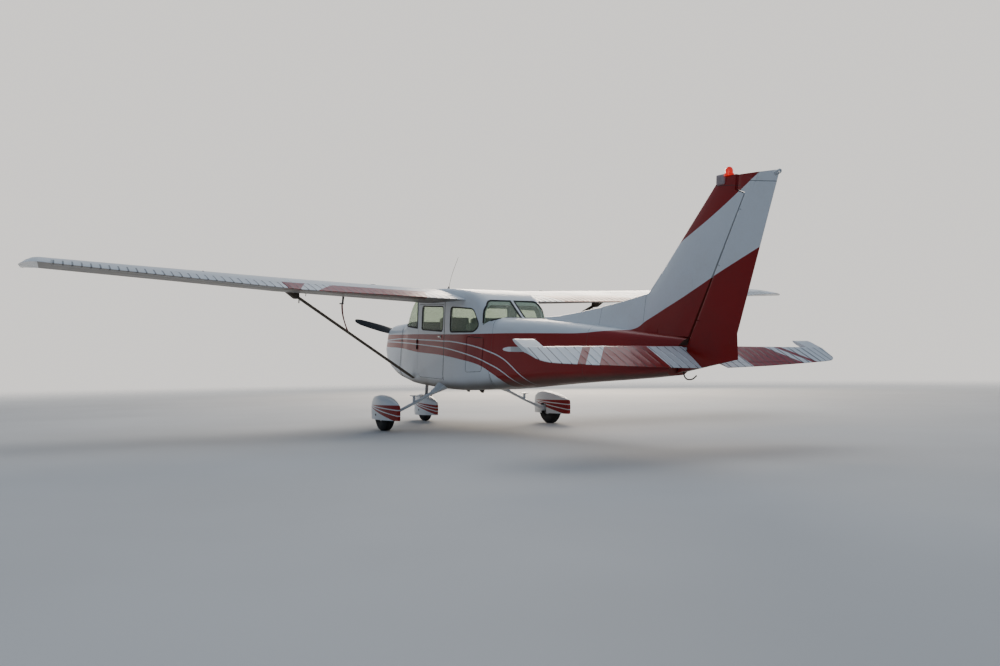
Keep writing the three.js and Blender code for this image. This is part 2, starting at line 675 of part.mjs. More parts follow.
// One elevator section at neutral: a round nose about the hinge and straight sides to the edge.
function elevatorRing(y, chord, nose) {
  const steps = 6;
  const arc = Array.from({ length: steps + 1 }, (_, i) => {
    const angle = degrees(90 - (180 * i) / steps);
    return [ELEVATOR_HINGE_X + nose * Math.cos(angle), y, ELEVATOR_HINGE_Z + nose * Math.sin(angle)];
  });
  return [
    [ELEVATOR_HINGE_X - chord, y, ELEVATOR_HINGE_Z + 2.5],
    ...arc,
    [ELEVATOR_HINGE_X - chord, y, ELEVATOR_HINGE_Z - 2.5],
  ];
}
const ELEVATOR_INNER_Y = 76;
const ELEVATOR_INNER_EDGE_Y = 152;
const ELEVATOR_TIP_NOSE = 20;

// The elevator's chord along the span, as [y, chord]: its trailing edge rounds off into the tip.
const ELEVATOR_CHORDS = [
  [ELEVATOR_INNER_Y, ELEVATOR_ROOT_CHORD],
  [690, 363],
  [1173, 316],
  [1497, 279],
  [1605, 259],
  [1652, 235],
  [1684, 207],
  [1704, 178],
  [STABILIZER_HALF_SPAN, 100],
];
const elevatorHalf = joined(
  loft(
    ELEVATOR_CHORDS.map(([y, chord]) => {
      const share = (y - ELEVATOR_INNER_Y) / (STABILIZER_HALF_SPAN - ELEVATOR_INNER_Y);
      return elevatorRing(y, chord, mix(ELEVATOR_NOSE, ELEVATOR_TIP_NOSE, share));
    }),
  ).subtract(innerBevel()),
  hornPlate(),
);

// The wedge that comes off the inner end of the elevator to let the rudder swing.
function innerBevel() {
  const shape = new THREE.Shape();
  shape.moveTo(ELEVATOR_HINGE_X - 20, 0);
  shape.lineTo(ELEVATOR_HINGE_X - 20, ELEVATOR_INNER_Y);
  shape.lineTo(ELEVATOR_HINGE_X - ELEVATOR_ROOT_CHORD - 20, ELEVATOR_INNER_EDGE_Y + 4);
  shape.lineTo(ELEVATOR_HINGE_X - ELEVATOR_ROOT_CHORD - 20, 0);
  const geometry = new THREE.ExtrudeGeometry(shape, { depth: 200, bevelEnabled: false });
  geometry.translate(0, 0, ELEVATOR_HINGE_Z - 100);
  return solidOf(geometry);
}

// The balance horn: the part of the tip ahead of the hinge.
function hornPlate() {
  const front = ELEVATOR_HINGE_X + HORN_LENGTH;
  const ring = (y, nose) => [
    [ELEVATOR_HINGE_X - 30, y, ELEVATOR_HINGE_Z + 18],
    [front - 60, y, ELEVATOR_HINGE_Z + 16],
    [front - nose, y, ELEVATOR_HINGE_Z + 9],
    [front, y, ELEVATOR_HINGE_Z],
    [front - nose, y, ELEVATOR_HINGE_Z - 9],
    [front - 60, y, ELEVATOR_HINGE_Z - 16],
    [ELEVATOR_HINGE_X - 30, y, ELEVATOR_HINGE_Z - 18],
  ];
  return loft([ring(HORN_INNER_Y, 14), ring(STABILIZER_HALF_SPAN, 14)]);
}

// Turns a solid about the elevator's hinge line, trailing edge down for a positive angle.
function drooped(solid, angle) {
  const geometry = geometryOf(solid);
  geometry.translate(-ELEVATOR_HINGE_X, 0, -ELEVATOR_HINGE_Z);
  geometry.rotateY(-degrees(angle));
  geometry.translate(ELEVATOR_HINGE_X, 0, ELEVATOR_HINGE_Z);
  return solidOf(geometry);
}
const TAB = { innerY: 190, outerY: 980, chord: 92 };
const tabZone = (margin) =>
  box(
    [-6500, -TAB.outerY + margin, 1000],
    [ELEVATOR_HINGE_X - ELEVATOR_ROOT_CHORD + TAB.chord + 12 - margin, -TAB.innerY - margin, 1400],
  );
const TORQUE_TUBE_RADIUS = 18;
const hingePoint = (y) => [ELEVATOR_HINGE_X, y, ELEVATOR_HINGE_Z];
let elevatorFlat = joined(
  elevatorHalf,
  mirrored(elevatorHalf),
  bar(hingePoint(-100), hingePoint(100), TORQUE_TUBE_RADIUS),
);
for (const y of ELEVATOR_LUG_Y.flatMap((v) => [v, -v])) {
  elevatorFlat = elevatorFlat.subtract(lugSlot(...elevatorHinge(y)));
}
const tabFrontX = ELEVATOR_HINGE_X - ELEVATOR_ROOT_CHORD + TAB.chord + 12 - SEAM;
const tabLeaf = box(
  [tabFrontX + TOUCH, -TAB.outerY + 60, ELEVATOR_HINGE_Z - 0.5],
  [tabFrontX + SEAM + 8, -TAB.innerY - 60, ELEVATOR_HINGE_Z + 0.5],
);
const elevatorFlatCut = elevatorFlat.subtract(tabZone(0)).add(tabLeaf);
piece("elevator", drooped(elevatorFlatCut, ELEVATOR_DROOP), FINISH.white);
piece("trim_tab", drooped(elevatorFlat.intersect(tabZone(SEAM)), ELEVATOR_DROOP), FINISH.white);

// The tail cone is slotted for the tailplane, and open aft for the torque tube and the elevator.
const tubeRoom = elevatorGap + 1;
const tubeSlot = sidePrism(
  [
    [ELEVATOR_HINGE_X + tubeRoom, ELEVATOR_HINGE_Z - tubeRoom],
    [ELEVATOR_HINGE_X + tubeRoom, ELEVATOR_HINGE_Z + tubeRoom],
    [ELEVATOR_HINGE_X - 55, ELEVATOR_HINGE_Z + 120],
    [-6500, ELEVATOR_HINGE_Z + 120],
    [-6500, ELEVATOR_HINGE_Z - tubeRoom],
  ],
  -300,
  300,
);
const stabilizerSlot = stabilizer
  .add(stabilizer.translate([0, 0, TOUCH]))
  .add(stabilizer.translate([0, 0, -TOUCH]))
  .add(stabilizer.translate([TOUCH, 0, 0]))
  .add(stabilizer.translate([-TOUCH, 0, 0]));
piece("tail_cone", tailBody.subtract(tailCavity).subtract(stabilizerSlot).subtract(tubeSlot), FINISH.red);

// The fin, with the long fillet that runs forward along the tail cone, and the rudder behind it.
const finFoil = foil(0.058, 0, 8);
function finLeadingX(z) {
  const share = (z - FIN_KINK.z) / (FIN_TOP.z - FIN_KINK.z);
  return mix(FIN_KINK.x, FIN_TOP.x, share);
}
const RUDDER_TRAILING_EDGE = [RUDDER_TE_LOW, RUDDER_TE_KNEE, RUDDER_TE_HIGH, RUDDER_TE_TOP];
function trailingX(z) {
  const above = RUDDER_TRAILING_EDGE.slice(1, -1).filter((corner) => z > corner.z).length;
  const [low, high] = RUDDER_TRAILING_EDGE.slice(above, above + 2);
  return mix(low.x, high.x, (z - low.z) / (high.z - low.z));
}
function finRing(z) {
  const front = finLeadingX(z);
  const full = front - trailingX(z);
  return finFoil.map(([s, t]) => [front - s * full, t * full, z]);
}
const noseRadius = (z) => mix(RUDDER_NOSE, 20, (z - 1000) / 1700);
const HORN_LOW = { x: -6545, z: 2598 };
const finAft = sidePrism(
  [
    [hingeX(1200) + noseRadius(1200) + RUDDER_GAP, 1200],
    [hingeX(2552) + noseRadius(2552) + RUDDER_GAP, 2552 - RUDDER_GAP],
    [HORN_LOW.x + RUDDER_GAP, HORN_LOW.z - RUDDER_GAP],
    [-6558 + RUDDER_GAP, 2800],
    [-7400, 2800],
    [-7400, 1200],
  ],
  -200,
  200,
);
// Each row of the fin's fillet: x, lowest z, ridge z, half width at the base, half width at the ridge.
const DORSAL_TABLE = [
  [-3407, 1500, 1513, 16, 12],
  [-3740, 1440, 1526, 40, 16],
  [-4140, 1420, 1566, 52, 17],
  [-4536, 1400, 1613, 58, 18],
  [-5000, 1380, 1680, 62, 18],
  [-5374, 1360, 1744, 62, 18],
  [-5560, 1340, 1930, 50, 10],
];
const dorsal = loft(
  DORSAL_TABLE.map(([x, low, ridge, base, crest]) => [
    [x, base, low],
    [x, mix(crest, base, 0.35), mix(ridge, low, 0.4)],
    [x, crest, ridge - crest],
    [x, crest * 0.7, ridge - crest * 0.3],
    [x, 0, ridge],
    [x, -crest * 0.7, ridge - crest * 0.3],
    [x, -crest, ridge - crest],
    [x, -mix(crest, base, 0.35), mix(ridge, low, 0.4)],
    [x, -base, low],
  ]),
);
const tailClear = bodyLoft(TAIL_SECTIONS, TOUCH);
const RUDDER_LUG_Z = [1480, 1960, 2420];
const hingeDirection = [
  RUDDER_HINGE_HIGH.x - RUDDER_HINGE_LOW.x,
  0,
  RUDDER_HINGE_HIGH.z - RUDDER_HINGE_LOW.z,
];
const rudderHinge = (z) => [[hingeX(z), 0, z], hingeDirection];
const fin = RUDDER_LUG_Z.reduce(
  (sum, z) => sum.add(hingeLug(...rudderHinge(z))),
  loft([1330, 1744, 2240, 2640, FIN_TOP.z].map(finRing)).add(dorsal).subtract(finAft).subtract(tailClear),
);
piece("fin", fin, FINISH.white);

function rudderRing(z) {
  const nose = noseRadius(z);
  const steps = 6;
  const arc = Array.from({ length: steps + 1 }, (_, i) => {
    const angle = degrees(90 - (180 * i) / steps);
    return [hingeX(z) + nose * Math.cos(angle), nose * Math.sin(angle), z];
  });
  return [[trailingX(z), 2.5, z], ...arc, [trailingX(z), -2.5, z]];
}
const rudderBelow = sidePrism(
  [
    [-5700, 800],
    [-5700, 955],
    [hingeX(1000), 996],
    [RUDDER_TE_LOW.x, RUDDER_TE_LOW.z],
    [-7200, 1290],
    [-7200, 800],
  ],
  -200,
  200,
);
const rudderHorn = loft(
  [2540, RUDDER_TE_TOP.z].map((z) => {
    const front = mix(HORN_LOW.x, -6562, (z - HORN_LOW.z) / 118);
    return [
      [hingeX(z) - 60, 18, z],
      [front - 50, 17, z],
      [front - 10, 10, z],
      [front, 0, z],
      [front - 10, -10, z],
      [front - 50, -17, z],
      [hingeX(z) - 60, -18, z],
    ];
  }),
);
const hornUnder = sidePrism(
  [
    [HORN_LOW.x + 60, 2400],
    [HORN_LOW.x + 60, HORN_LOW.z + 20],
    [hingeX(2560) + 22, 2556],
    [hingeX(2400) + 22, 2400],
  ],
  -200,
  200,
);
const rudderAbove = sidePrism(
  [
    [-6500, 2719],
    [-7100, 2687],
    [-7100, 2850],
    [-6500, 2850],
  ],
  -200,
  200,
);
const tubeNotch = bar(hingePoint(-200), hingePoint(200), TORQUE_TUBE_RADIUS + 16);
const rudder = RUDDER_LUG_Z.reduce(
  (sum, z) => sum.subtract(lugSlot(...rudderHinge(z))),
  loft([960, RUDDER_TE_KNEE.z, 2000, 2440, RUDDER_TE_HIGH.z, RUDDER_TE_TOP.z].map(rudderRing))
    .add(rudderHorn.subtract(hornUnder))
    .subtract(rudderBelow)
    .subtract(rudderAbove)
    .subtract(tubeNotch),
);
piece("rudder", rudder, FINISH.white);
const BEACON_X = -6440;
const BEACON_BASE_Z = FIN_TOP.z + TOUCH;
piece(
  "beacon",
  turned([[0, 0], [44, 0], [44, 20], [34, 24], [34, 50], [26, 70], [12, 80], [0, 82]], 16, "z", [
    BEACON_X,
    0,
    BEACON_BASE_Z,
  ]),
  FINISH.lens,
);

// The wing: each side runs from the cabin wall to the moulded tip, cut out behind for the flap and
// the aileron.
const wingFull = loft([WING_ROOT_Y, WING_KINK_Y, WING_TIP_Y].map((y) => wingRing(y)));

// A cutter that holds everything behind a hinge line and between two span positions.
function behind(fromY, toY, fromX, toX) {
  const ring = (y, x) => [[x, y, 1500], [x, y, 2300], [-2600, y, 2300], [-2600, y, 1500]];
  return loft([ring(fromY, fromX), ring(toY, toX)]);
}
const flapRoom = behind(FLAP_INNER_Y - SEAM, FLAP_OUTER_Y + SEAM, FLAP_NOSE_X + SEAM, FLAP_NOSE_X + SEAM);
const flapZone = behind(FLAP_INNER_Y, FLAP_OUTER_Y, FLAP_NOSE_X, FLAP_NOSE_X);
const aileronRoom = behind(
  FLAP_OUTER_Y,
  AILERON_OUTER_Y + SEAM,
  AILERON_HINGE_INNER_X + SEAM,
  AILERON_HINGE_OUTER_X + SEAM,
);
const aileronZone = behind(
  AILERON_INNER_Y,
  AILERON_OUTER_Y,
  AILERON_HINGE_INNER_X,
  AILERON_HINGE_OUTER_X,
);

// The aileron hangs from its upper front edge, so the face below that edge slopes back.
const AILERON_BEVEL = 50;
function aileronWedge() {
  const ring = (y, x) => {
    const top = wingSkinZ(x, y, true);
    const low = wingSkinZ(x, y, false);
    return [
      [x + 40, y, low - 40],
      [x + 40, y, top + 5],
      [x, y, top + 5],
      [x, y, top],
      [x - AILERON_BEVEL, y, low - 40],
    ];
  };
  return loft([
    ring(AILERON_INNER_Y - 2, AILERON_HINGE_INNER_X),
    ring(AILERON_OUTER_Y + 2, AILERON_HINGE_OUTER_X),
  ]);
}
const aileron = wingFull.intersect(aileronZone).subtract(aileronWedge());

// Hinge leaves along the aileron's upper edge, and the flap's end rollers.
const AILERON_LEAF_Y = [2900, 3900, 4900];
function aileronLeaf(y) {
  const x = mix(
    AILERON_HINGE_INNER_X,
    AILERON_HINGE_OUTER_X,
    (y - AILERON_INNER_Y) / (AILERON_OUTER_Y - AILERON_INNER_Y),
  );
  const top = wingSkinZ(x, y, true);
  return box([x + TOUCH + 2, y - 25, top - 7], [x + 30, y + 25, top - 2]);
}
const wing = AILERON_LEAF_Y.reduce(
  (sum, y) => sum.add(aileronLeaf(y)),
  wingFull.subtract(flapRoom).subtract(aileronRoom).subtract(cabinClear),
);
const FLAP_ROLLER = { x: -1880, radius: 9 };
function flapRoller(y, reach) {
  const z = (wingSkinZ(FLAP_ROLLER.x, y, true) + wingSkinZ(FLAP_ROLLER.x, y, false)) / 2;
  const inside = y - Math.sign(reach) * 20;
  return bar([FLAP_ROLLER.x, inside, z], [FLAP_ROLLER.x, y + reach, z], FLAP_ROLLER.radius);
}
const flap = joined(
  wingFull.intersect(flapZone),
  flapRoller(FLAP_INNER_Y, TOUCH - SEAM),
  flapRoller(FLAP_OUTER_Y, SEAM - 2.4),
);
const wingTip = loft([
  wingRing(WING_TIP_Y + TOUCH),
  wingRing(WING_TIP_Y + 60, { shrink: 0.985, flatten: 0.93, drop: 2 }),
  wingRing(WING_TIP_Y + 120, { shrink: 0.94, flatten: 0.7, drop: 10 }),
  wingRing(WING_TIP_Y + 160, { shrink: 0.87, flatten: 0.4, drop: 22 }),
  wingRing(TIP_EDGE_Y, { shrink: 0.78, flatten: 0.14, drop: 32 }),
]);

// The wing strut: a streamlined bar from the lower door post to the front spar.
const STRUT_LOW = [-560, 505, 628];
const STRUT_HIGH = [-1050, 2444, 1808];
const STRUT_CHORD = 108;
const STRUT_DEPTH = 36;
function strutRing([x, y, z], scale) {
  const run = new THREE.Vector3(...STRUT_HIGH).sub(new THREE.Vector3(...STRUT_LOW)).normalize();
  const fore = new THREE.Vector3(1, 0, 0).addScaledVector(run, -run.x).normalize();
  const up = new THREE.Vector3().crossVectors(run, fore);
  const outline = [
    [0.5, 0], [0.44, 0.3], [0.25, 0.48], [0, 0.5], [-0.25, 0.34], [-0.5, 0.06],
    [-0.5, -0.06], [-0.25, -0.34], [0, -0.5], [0.25, -0.48], [0.44, -0.3],
  ];
  return outline.map(([a, b]) => {
    const p = new THREE.Vector3(x, y, z);
    p.addScaledVector(fore, a * STRUT_CHORD * scale).addScaledVector(up, b * STRUT_DEPTH * scale);
    return [p.x, p.y, p.z];
  });
}
const alongStrut = (share) => STRUT_LOW.map((value, axis) => mix(value, STRUT_HIGH[axis], share));
const strut = loft([
  strutRing(alongStrut(0), 0.8),
  strutRing(alongStrut(0.05), 1),
  strutRing(alongStrut(0.94), 1),
  strutRing(alongStrut(0.985), 1.25),
  strutRing(alongStrut(1), 1.3),
])
  .subtract(cabinClear)
  .subtract(wingFull.add(wingFull.translate([0, 0, -TOUCH])));

for (const [word, side] of [["left", 1], ["right", -1]]) {
  piece(`wing_${word}`, onSide(wing, side), FINISH.white);
  piece(`wing_tip_${word}`, onSide(wingTip, side), FINISH.white);
  piece(`flap_${word}`, onSide(flap, side), FINISH.white);
  piece(`aileron_${word}`, onSide(aileron, side), FINISH.white);
  piece(`strut_${word}`, onSide(strut, side), FINISH.white);
}

// The pitot mast under the left wing, with the cloth cover streamer that hangs from it.
const PITOT = { x: -900, y: 1673, drop: 92, nose: 150 };
const pitotRoof = wingSkinZ(PITOT.x, PITOT.y, false) - TOUCH;
const pitotLow = pitotRoof - PITOT.drop;
const pitot = joined(
  bar([PITOT.x, PITOT.y, pitotRoof - 3], [PITOT.x + 26, PITOT.y, pitotLow], 15, 12, 10),
  bar([PITOT.x + 10, PITOT.y, pitotLow], [PITOT.x + PITOT.nose, PITOT.y, pitotLow], 13, 9, 10),
).subtract(wingFull.add(wingFull.translate([0, 0, -TOUCH])));
piece("pitot_mast", pitot, FINISH.steel);
const STREAMER = [[0, 0, 0], [-4, -2, -60], [-24, -8, -150], [-68, -22, -250], [-128, -44, -352]];
const streamerTop = [PITOT.x + 50, PITOT.y, pitotLow - 12.7];
piece(
  "pitot_streamer",
  loft(
    STREAMER.map((step) => {
      const [x, y, z] = streamerTop.map((value, axis) => value + step[axis]);
      return [[x - 19, y - 2, z], [x + 19, y - 2, z], [x + 19, y + 2, z], [x - 19, y + 2, z]];
    }),
  ),
  FINISH.ribbon,
);

// A tyre and its hub, on a bore that runs on the axle.
const TYRE_SIDES = 26;
function tyreSolid({ radius, width, rim }, centre) {
  const half = width / 2;
  const profile = [
    [rim, -half * 0.74],
    [rim + (radius - rim) * 0.3, -half],
    [rim + (radius - rim) * 0.66, -half * 0.96],
    [radius - 12, -half * 0.68],
    [radius, -half * 0.26],
  ];
  const closed = [...profile, ...profile.slice().reverse().map(([r, y]) => [r, -y])];
  return turned([...closed, closed[0]], TYRE_SIDES, "y", centre);
}
function hubSolid({ width, rim }, centre, bore) {
  const half = width / 2;
  const profile = [
    [bore, -half * 0.62],
    [rim - 30, -half * 0.3],
    [rim - 14, -half * 0.7],
    [rim - TOUCH, -half * 0.7],
  ];
  const closed = [...profile, ...profile.slice().reverse().map(([r, y]) => [r, -y])];
  return turned([...closed, closed[0]], TYRE_SIDES, "y", centre);
}

const MAIN_FAIRING = {
  front: -1078, back: -1990, top: 463, half: 117, wall: 6, lowFront: 118, lowBack: 180,
};

// Main legs: tapered spring-steel tubes with a root fairing, a step, the brake and the axle.
const STEP = { x: -1450, y: 850, z: 445 };
const LEG_LINE = [[-1446, 330, 575], [-1452, 560, 492], [-1462, 830, 357], [-1476, 1120, 226]];
const LEG_SIZES = [[92, 50], [84, 44], [72, 38], [62, 36]];
function legRing([x, y, z], [chord, depth]) {
  const count = 12;
  const lean = Math.atan2(LEG_LINE[3][2] - LEG_LINE[0][2], LEG_LINE[3][1] - LEG_LINE[0][1]);
  return Array.from({ length: count }, (_, i) => {
    const angle = (2 * Math.PI * i) / count;
    const rise = (depth / 2) * Math.sin(angle);
    return [x + (chord / 2) * Math.cos(angle), y - rise * Math.sin(lean), z + rise * Math.cos(lean)];
  });
}
const leg = joined(
  loft(LEG_LINE.map((point, i) => legRing(point, LEG_SIZES[i]))),
  loft([
    legRing([-1450, 320, 650], [340, 190]),
    legRing([-1452, 420, 592], [280, 150]),
    legRing([-1456, 520, 520], [160, 84]),
    legRing([-1458, 600, 474], [96, 52]),
  ]),
  bar(
    [MAIN_AXLE.x, MAIN_AXLE.y - 160, MAIN_AXLE.z],
    [MAIN_AXLE.x, MAIN_AXLE.y + MAIN_FAIRING.half - 5, MAIN_AXLE.z],
    AXLE_RADIUS,
  ),
  bar([MAIN_AXLE.x, 1118, MAIN_AXLE.z], [MAIN_AXLE.x, 1172, MAIN_AXLE.z], 44),
  box([STEP.x - 60, STEP.y - 40, STEP.z - 8], [STEP.x + 60, STEP.y + 40, STEP.z]),
  box([STEP.x - 14, STEP.y - 14, 350], [STEP.x + 14, STEP.y + 14, STEP.z - 6]),
).subtract(cabinClear);

// A wheel fairing: a shell with a round nose and a thin upright tail, cut off below for the tyre
// along a line that rises towards the tail. Each row: share of the length, heights of the ridge and
// the keel as shares of the whole height, share of the half width.
const FAIRING_SIDES = 16;
const FAIRING_SQUARENESS = 0.7;
const FAIRING_KEEL = -0.3;
const FAIRING_STATIONS = [
  [0.0, 0.56, 0.2, 0.12],
  [0.02, 0.68, 0.08, 0.34],
  [0.07, 0.81, FAIRING_KEEL, 0.58],
  [0.16, 0.93, FAIRING_KEEL, 0.82],
  [0.28, 0.99, FAIRING_KEEL, 0.96],
  [0.4, 1.0, FAIRING_KEEL, 1.0],
  [0.54, 0.97, FAIRING_KEEL, 0.96],
  [0.68, 0.92, FAIRING_KEEL, 0.82],
  [0.82, 0.85, FAIRING_KEEL, 0.6],
  [0.93, 0.77, FAIRING_KEEL, 0.36],
  [1.0, 0.72, FAIRING_KEEL, 0.18],
];
function fairingShell({ front, back, top, half, wall, lowFront, lowBack }, centreY) {
  const low = (lowFront + lowBack) / 2;
  const rings = (margin) =>
    FAIRING_STATIONS.map(([share, ridge, keel, width]) => {
      const x = mix(front - margin, back + margin, share);
      const waist = mix(low, top, Math.max((ridge + keel) / 2, 0.36));
      const wide = Math.max(half * width - margin, 6);
      const high = mix(low, top, ridge) - margin - waist;
      const deep = waist - mix(low, top, keel) - margin;
      return Array.from({ length: FAIRING_SIDES }, (_, i) => {
        const angle = (2 * Math.PI * i) / FAIRING_SIDES;
        const [c, s] = [Math.cos(angle), Math.sin(angle)];
        const soft = (v) => Math.sign(v) * Math.abs(v) ** FAIRING_SQUARENESS;
        return [x, centreY + wide * soft(c), waist + (s > 0 ? high : deep) * soft(s)];
      });
    });
  return loft(rings(0))
    .subtract(loft(rings(wall)))
    .subtract(
      sidePrism(
        [[front + 20, lowFront], [back - 20, lowBack], [back - 20, low - 300], [front + 20, low - 300]],
        centreY - 400,
        centreY + 400,
      ),
    );
}
const fairing = fairingShell(MAIN_FAIRING, MAIN_AXLE.y)
  .subtract(box([-1545, 1000, 60], [-1411, 1172, 285]));

for (const [word, side] of [["left", 1], ["right", -1]]) {
  const centre = [MAIN_AXLE.x, MAIN_AXLE.y, MAIN_AXLE.z];
  piece(`main_leg_${word}`, onSide(leg.subtract(grown(fairing)), side), FINISH.white);
  piece(`main_tyre_${word}`, onSide(tyreSolid(MAIN_TYRE, centre), side), FINISH.rubber);
  piece(`main_hub_${word}`, onSide(hubSolid(MAIN_TYRE, centre, AXLE_RADIUS + 0.6), side), FINISH.steel);
  piece(`wheel_fairing_${word}`, onSide(fairing, side), FINISH.white);
}

// The nose gear: the strut's upper tube stays on the firewall; the piston, fork and fairing steer.
const strutPoint = (share) => [
  mix(NOSE_STRUT_TOP.x, NOSE_STRUT_LOW.x, share),
  0,
  mix(NOSE_STRUT_TOP.z, NOSE_STRUT_LOW.z, share),
];
const upperTube = joined(
  bar(strutPoint(0), strutPoint(0.5), 38, 38, 16),
  box([-24 + TOUCH, -60, 640], [60, 60, 690]),
).subtract(bar(strutPoint(-0.05), strutPoint(0.55), 26.4, 26.4, 16));
piece("nose_strut", upperTube, FINISH.steel);
const fork = joined(
  bar(strutPoint(0.16), strutPoint(0.99), 25.4, 25.4, 16),
  box([100, -86, 276], [196, 86, 304]),
  sidePrism([[128, 290], [196, 290], [202, 60], [146, 60]], -86, -72),
  sidePrism([[128, 290], [196, 290], [202, 60], [146, 60]], 72, 86),
  bar([NOSE_AXLE.x, -86, NOSE_AXLE.z], [NOSE_AXLE.x, 86, NOSE_AXLE.z], AXLE_RADIUS),
);
piece("nose_fork", fork, FINISH.steel);
const NOSE_FAIRING = {
  front: 520, back: -290, top: 316, half: 108, wall: 6, lowFront: -38, lowBack: 34,
};
const noseFairing = fairingShell(NOSE_FAIRING, 0).subtract(grown(fork));
piece("nose_fairing", noseFairing, FINISH.white);
const noseCentre = [NOSE_AXLE.x, 0, NOSE_AXLE.z];
piece("nose_tyre", tyreSolid(NOSE_TYRE, noseCentre), FINISH.rubber);
piece("nose_hub", hubSolid(NOSE_TYRE, noseCentre, AXLE_RADIUS + 0.6), FINISH.steel);

// The propeller: a hub and two blades in one forging, twisted along their length.
function bladeRing([radius, chord, thickness, pitch]) {
  const angle = degrees(pitch);
  const outline = [
    [0.42, 0.1], [0.32, 0.4], [0.1, 0.6], [-0.2, 0.5], [-0.45, 0.2], [-0.58, 0],
    [-0.45, -0.14], [-0.2, -0.28], [0.1, -0.38], [0.32, -0.32], [0.42, -0.1],
  ];
  return outline.map(([s, t]) => {
    const [a, b] = [s * chord, t * thickness];
    return [
      PROP_X + a * Math.sin(angle) + b * Math.cos(angle),
      radius,
      a * Math.cos(angle) - b * Math.sin(angle),
    ];
  });
}
const bladeUp = loft(BLADE_SECTIONS.map(bladeRing));
function turnedAboutShaft(solid, angle) {
  const geometry = geometryOf(solid);
  geometry.rotateX(degrees(angle));
  geometry.translate(0, 0, PROP_Z);
  return solidOf(geometry);
}
const propeller = joined(
  turnedAboutShaft(bladeUp, PROP_PARKED_ANGLE),
  turnedAboutShaft(bladeUp, PROP_PARKED_ANGLE + 180),
  bar([984 + 7, 0, PROP_Z], [1086, 0, PROP_Z], 74, 68, 16),
);
piece("propeller", propeller, FINISH.black);
const spinnerProfile = [[0, 0], [SPINNER_RADIUS, 0]];
for (const share of [0.16, 0.36, 0.56, 0.74, 0.88, 0.97]) {
  spinnerProfile.push([SPINNER_RADIUS * Math.sqrt(1 - share ** 1.7), share * (SPINNER_TIP_X - 992)]);
}
spinnerProfile.push([0, SPINNER_TIP_X - 992]);
const bladeRoom = loft(
  BLADE_SECTIONS.slice(0, 3).map(([radius, chord, thickness, pitch]) =>
    bladeRing([radius, chord + 14, thickness + 14, pitch]),
  ),
);
const spinner = turned(spinnerProfile, 24, "x", [992, 0, PROP_Z])
  .subtract(bar([970, 0, PROP_Z], [1086.4, 0, PROP_Z], 76, 76, 16))
  .subtract(turnedAboutShaft(bladeRoom, PROP_PARKED_ANGLE))
  .subtract(turnedAboutShaft(bladeRoom, PROP_PARKED_ANGLE + 180));
piece("spinner", spinner, FINISH.white);
const EXHAUST_LINE = [
  [285, -120, SUMP_Z - 1], [285, -120, 715], [262, -121, 668], [185, -123, 612], [105, -124, 548],
  [66, -124, 482],
];
piece(
  "exhaust",
  pipe(EXHAUST_LINE, 26, 12),
  FINISH.steel,
);

// Cabin fittings: two front seats, a rear bench and the instrument panel with its control wheels.
function seatSolid(x, y, width, rails, { rake, backHigh }) {
  const half = width / 2;
  const profile = [
    [x + 240, 880], [x + 250, 960], [x + 200, 1000], [x - 160, 985], [x - 215, 1020],
    [x - 215 - rake * 0.75, backHigh], [x - 300 - rake * 0.8, backHigh - 10],
    [x - 330, 900], [x - 260, 860],
  ];
  return joined(
    sidePrism(profile, y - half, y + half, 24),
    ...rails.map((rail) => box([x - 220, rail - 14, FLOOR_Z - 20], [x + 170, rail + 14, 900])),
  ).intersect(cabinRoom);
}
for (const [word, side] of [["left", 1], ["right", -1]]) {
  const rails = [side * 90, side * 305];
  const seat = seatSolid(-1080, side * 235, 400, rails, { rake: 150, backHigh: 1500 });
  piece(`seat_front_${word}`, seat, FINISH.cloth);
}
const bench = seatSolid(-1890, 0, 860, [-300, 300], { rake: 190, backHigh: 1430 });
piece("rear_bench", bench, FINISH.cloth);
const PANEL_OUTLINE = [
  [-400, 1130], [-430, 1130], [-470, 1408], [-250, 1406], [-250, 1380], [-430, 1382],
];
let panel = sidePrism(PANEL_OUTLINE, -500, 500).intersect(cabinRoom);
for (const side of [1, -1]) {
  panel = panel
    .add(bar([-405, side * 235, 1210], [-560, side * 235, 1215], 13, 13, 10))
    .add(box([-575, side * 235 - 120, 1196], [-552, side * 235 + 120, 1232]))
    .add(box([-575, side * 235 - 120, 1200], [-552, side * 235 - 92, 1310]))
    .add(box([-575, side * 235 + 92, 1200], [-552, side * 235 + 120, 1310]));
}
piece("instrument_panel", panel, FINISH.panel);

const airframe = new THREE.Group();
for (const { name, solid, finish } of pieces) {
  const mesh = new THREE.Mesh(geometryOf(solid), new THREE.MeshStandardMaterial(finish));
  mesh.name = name;
  mesh.position.set(-MAIN_AXLE.x, 0, -MAIN_AXLE.z);
  airframe.add(mesh);
}

// Nose-up about the main axle, then the origin to the middle of the base of the bounding box.
airframe.rotation.y = -degrees(PARKED_PITCH);
airframe.position.set(MAIN_AXLE.x, 0, MAIN_AXLE.z);
const aircraft = new THREE.Group();
aircraft.add(airframe);
aircraft.updateMatrixWorld(true);
const bounds = new THREE.Box3().setFromObject(aircraft, true);
aircraft.position.set(-(bounds.min.x + bounds.max.x) / 2, 0, -bounds.min.z);

export default aircraft;
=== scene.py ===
import json
from math import cos, pi, radians, sin

import bpy
from mathutils import Matrix, Vector

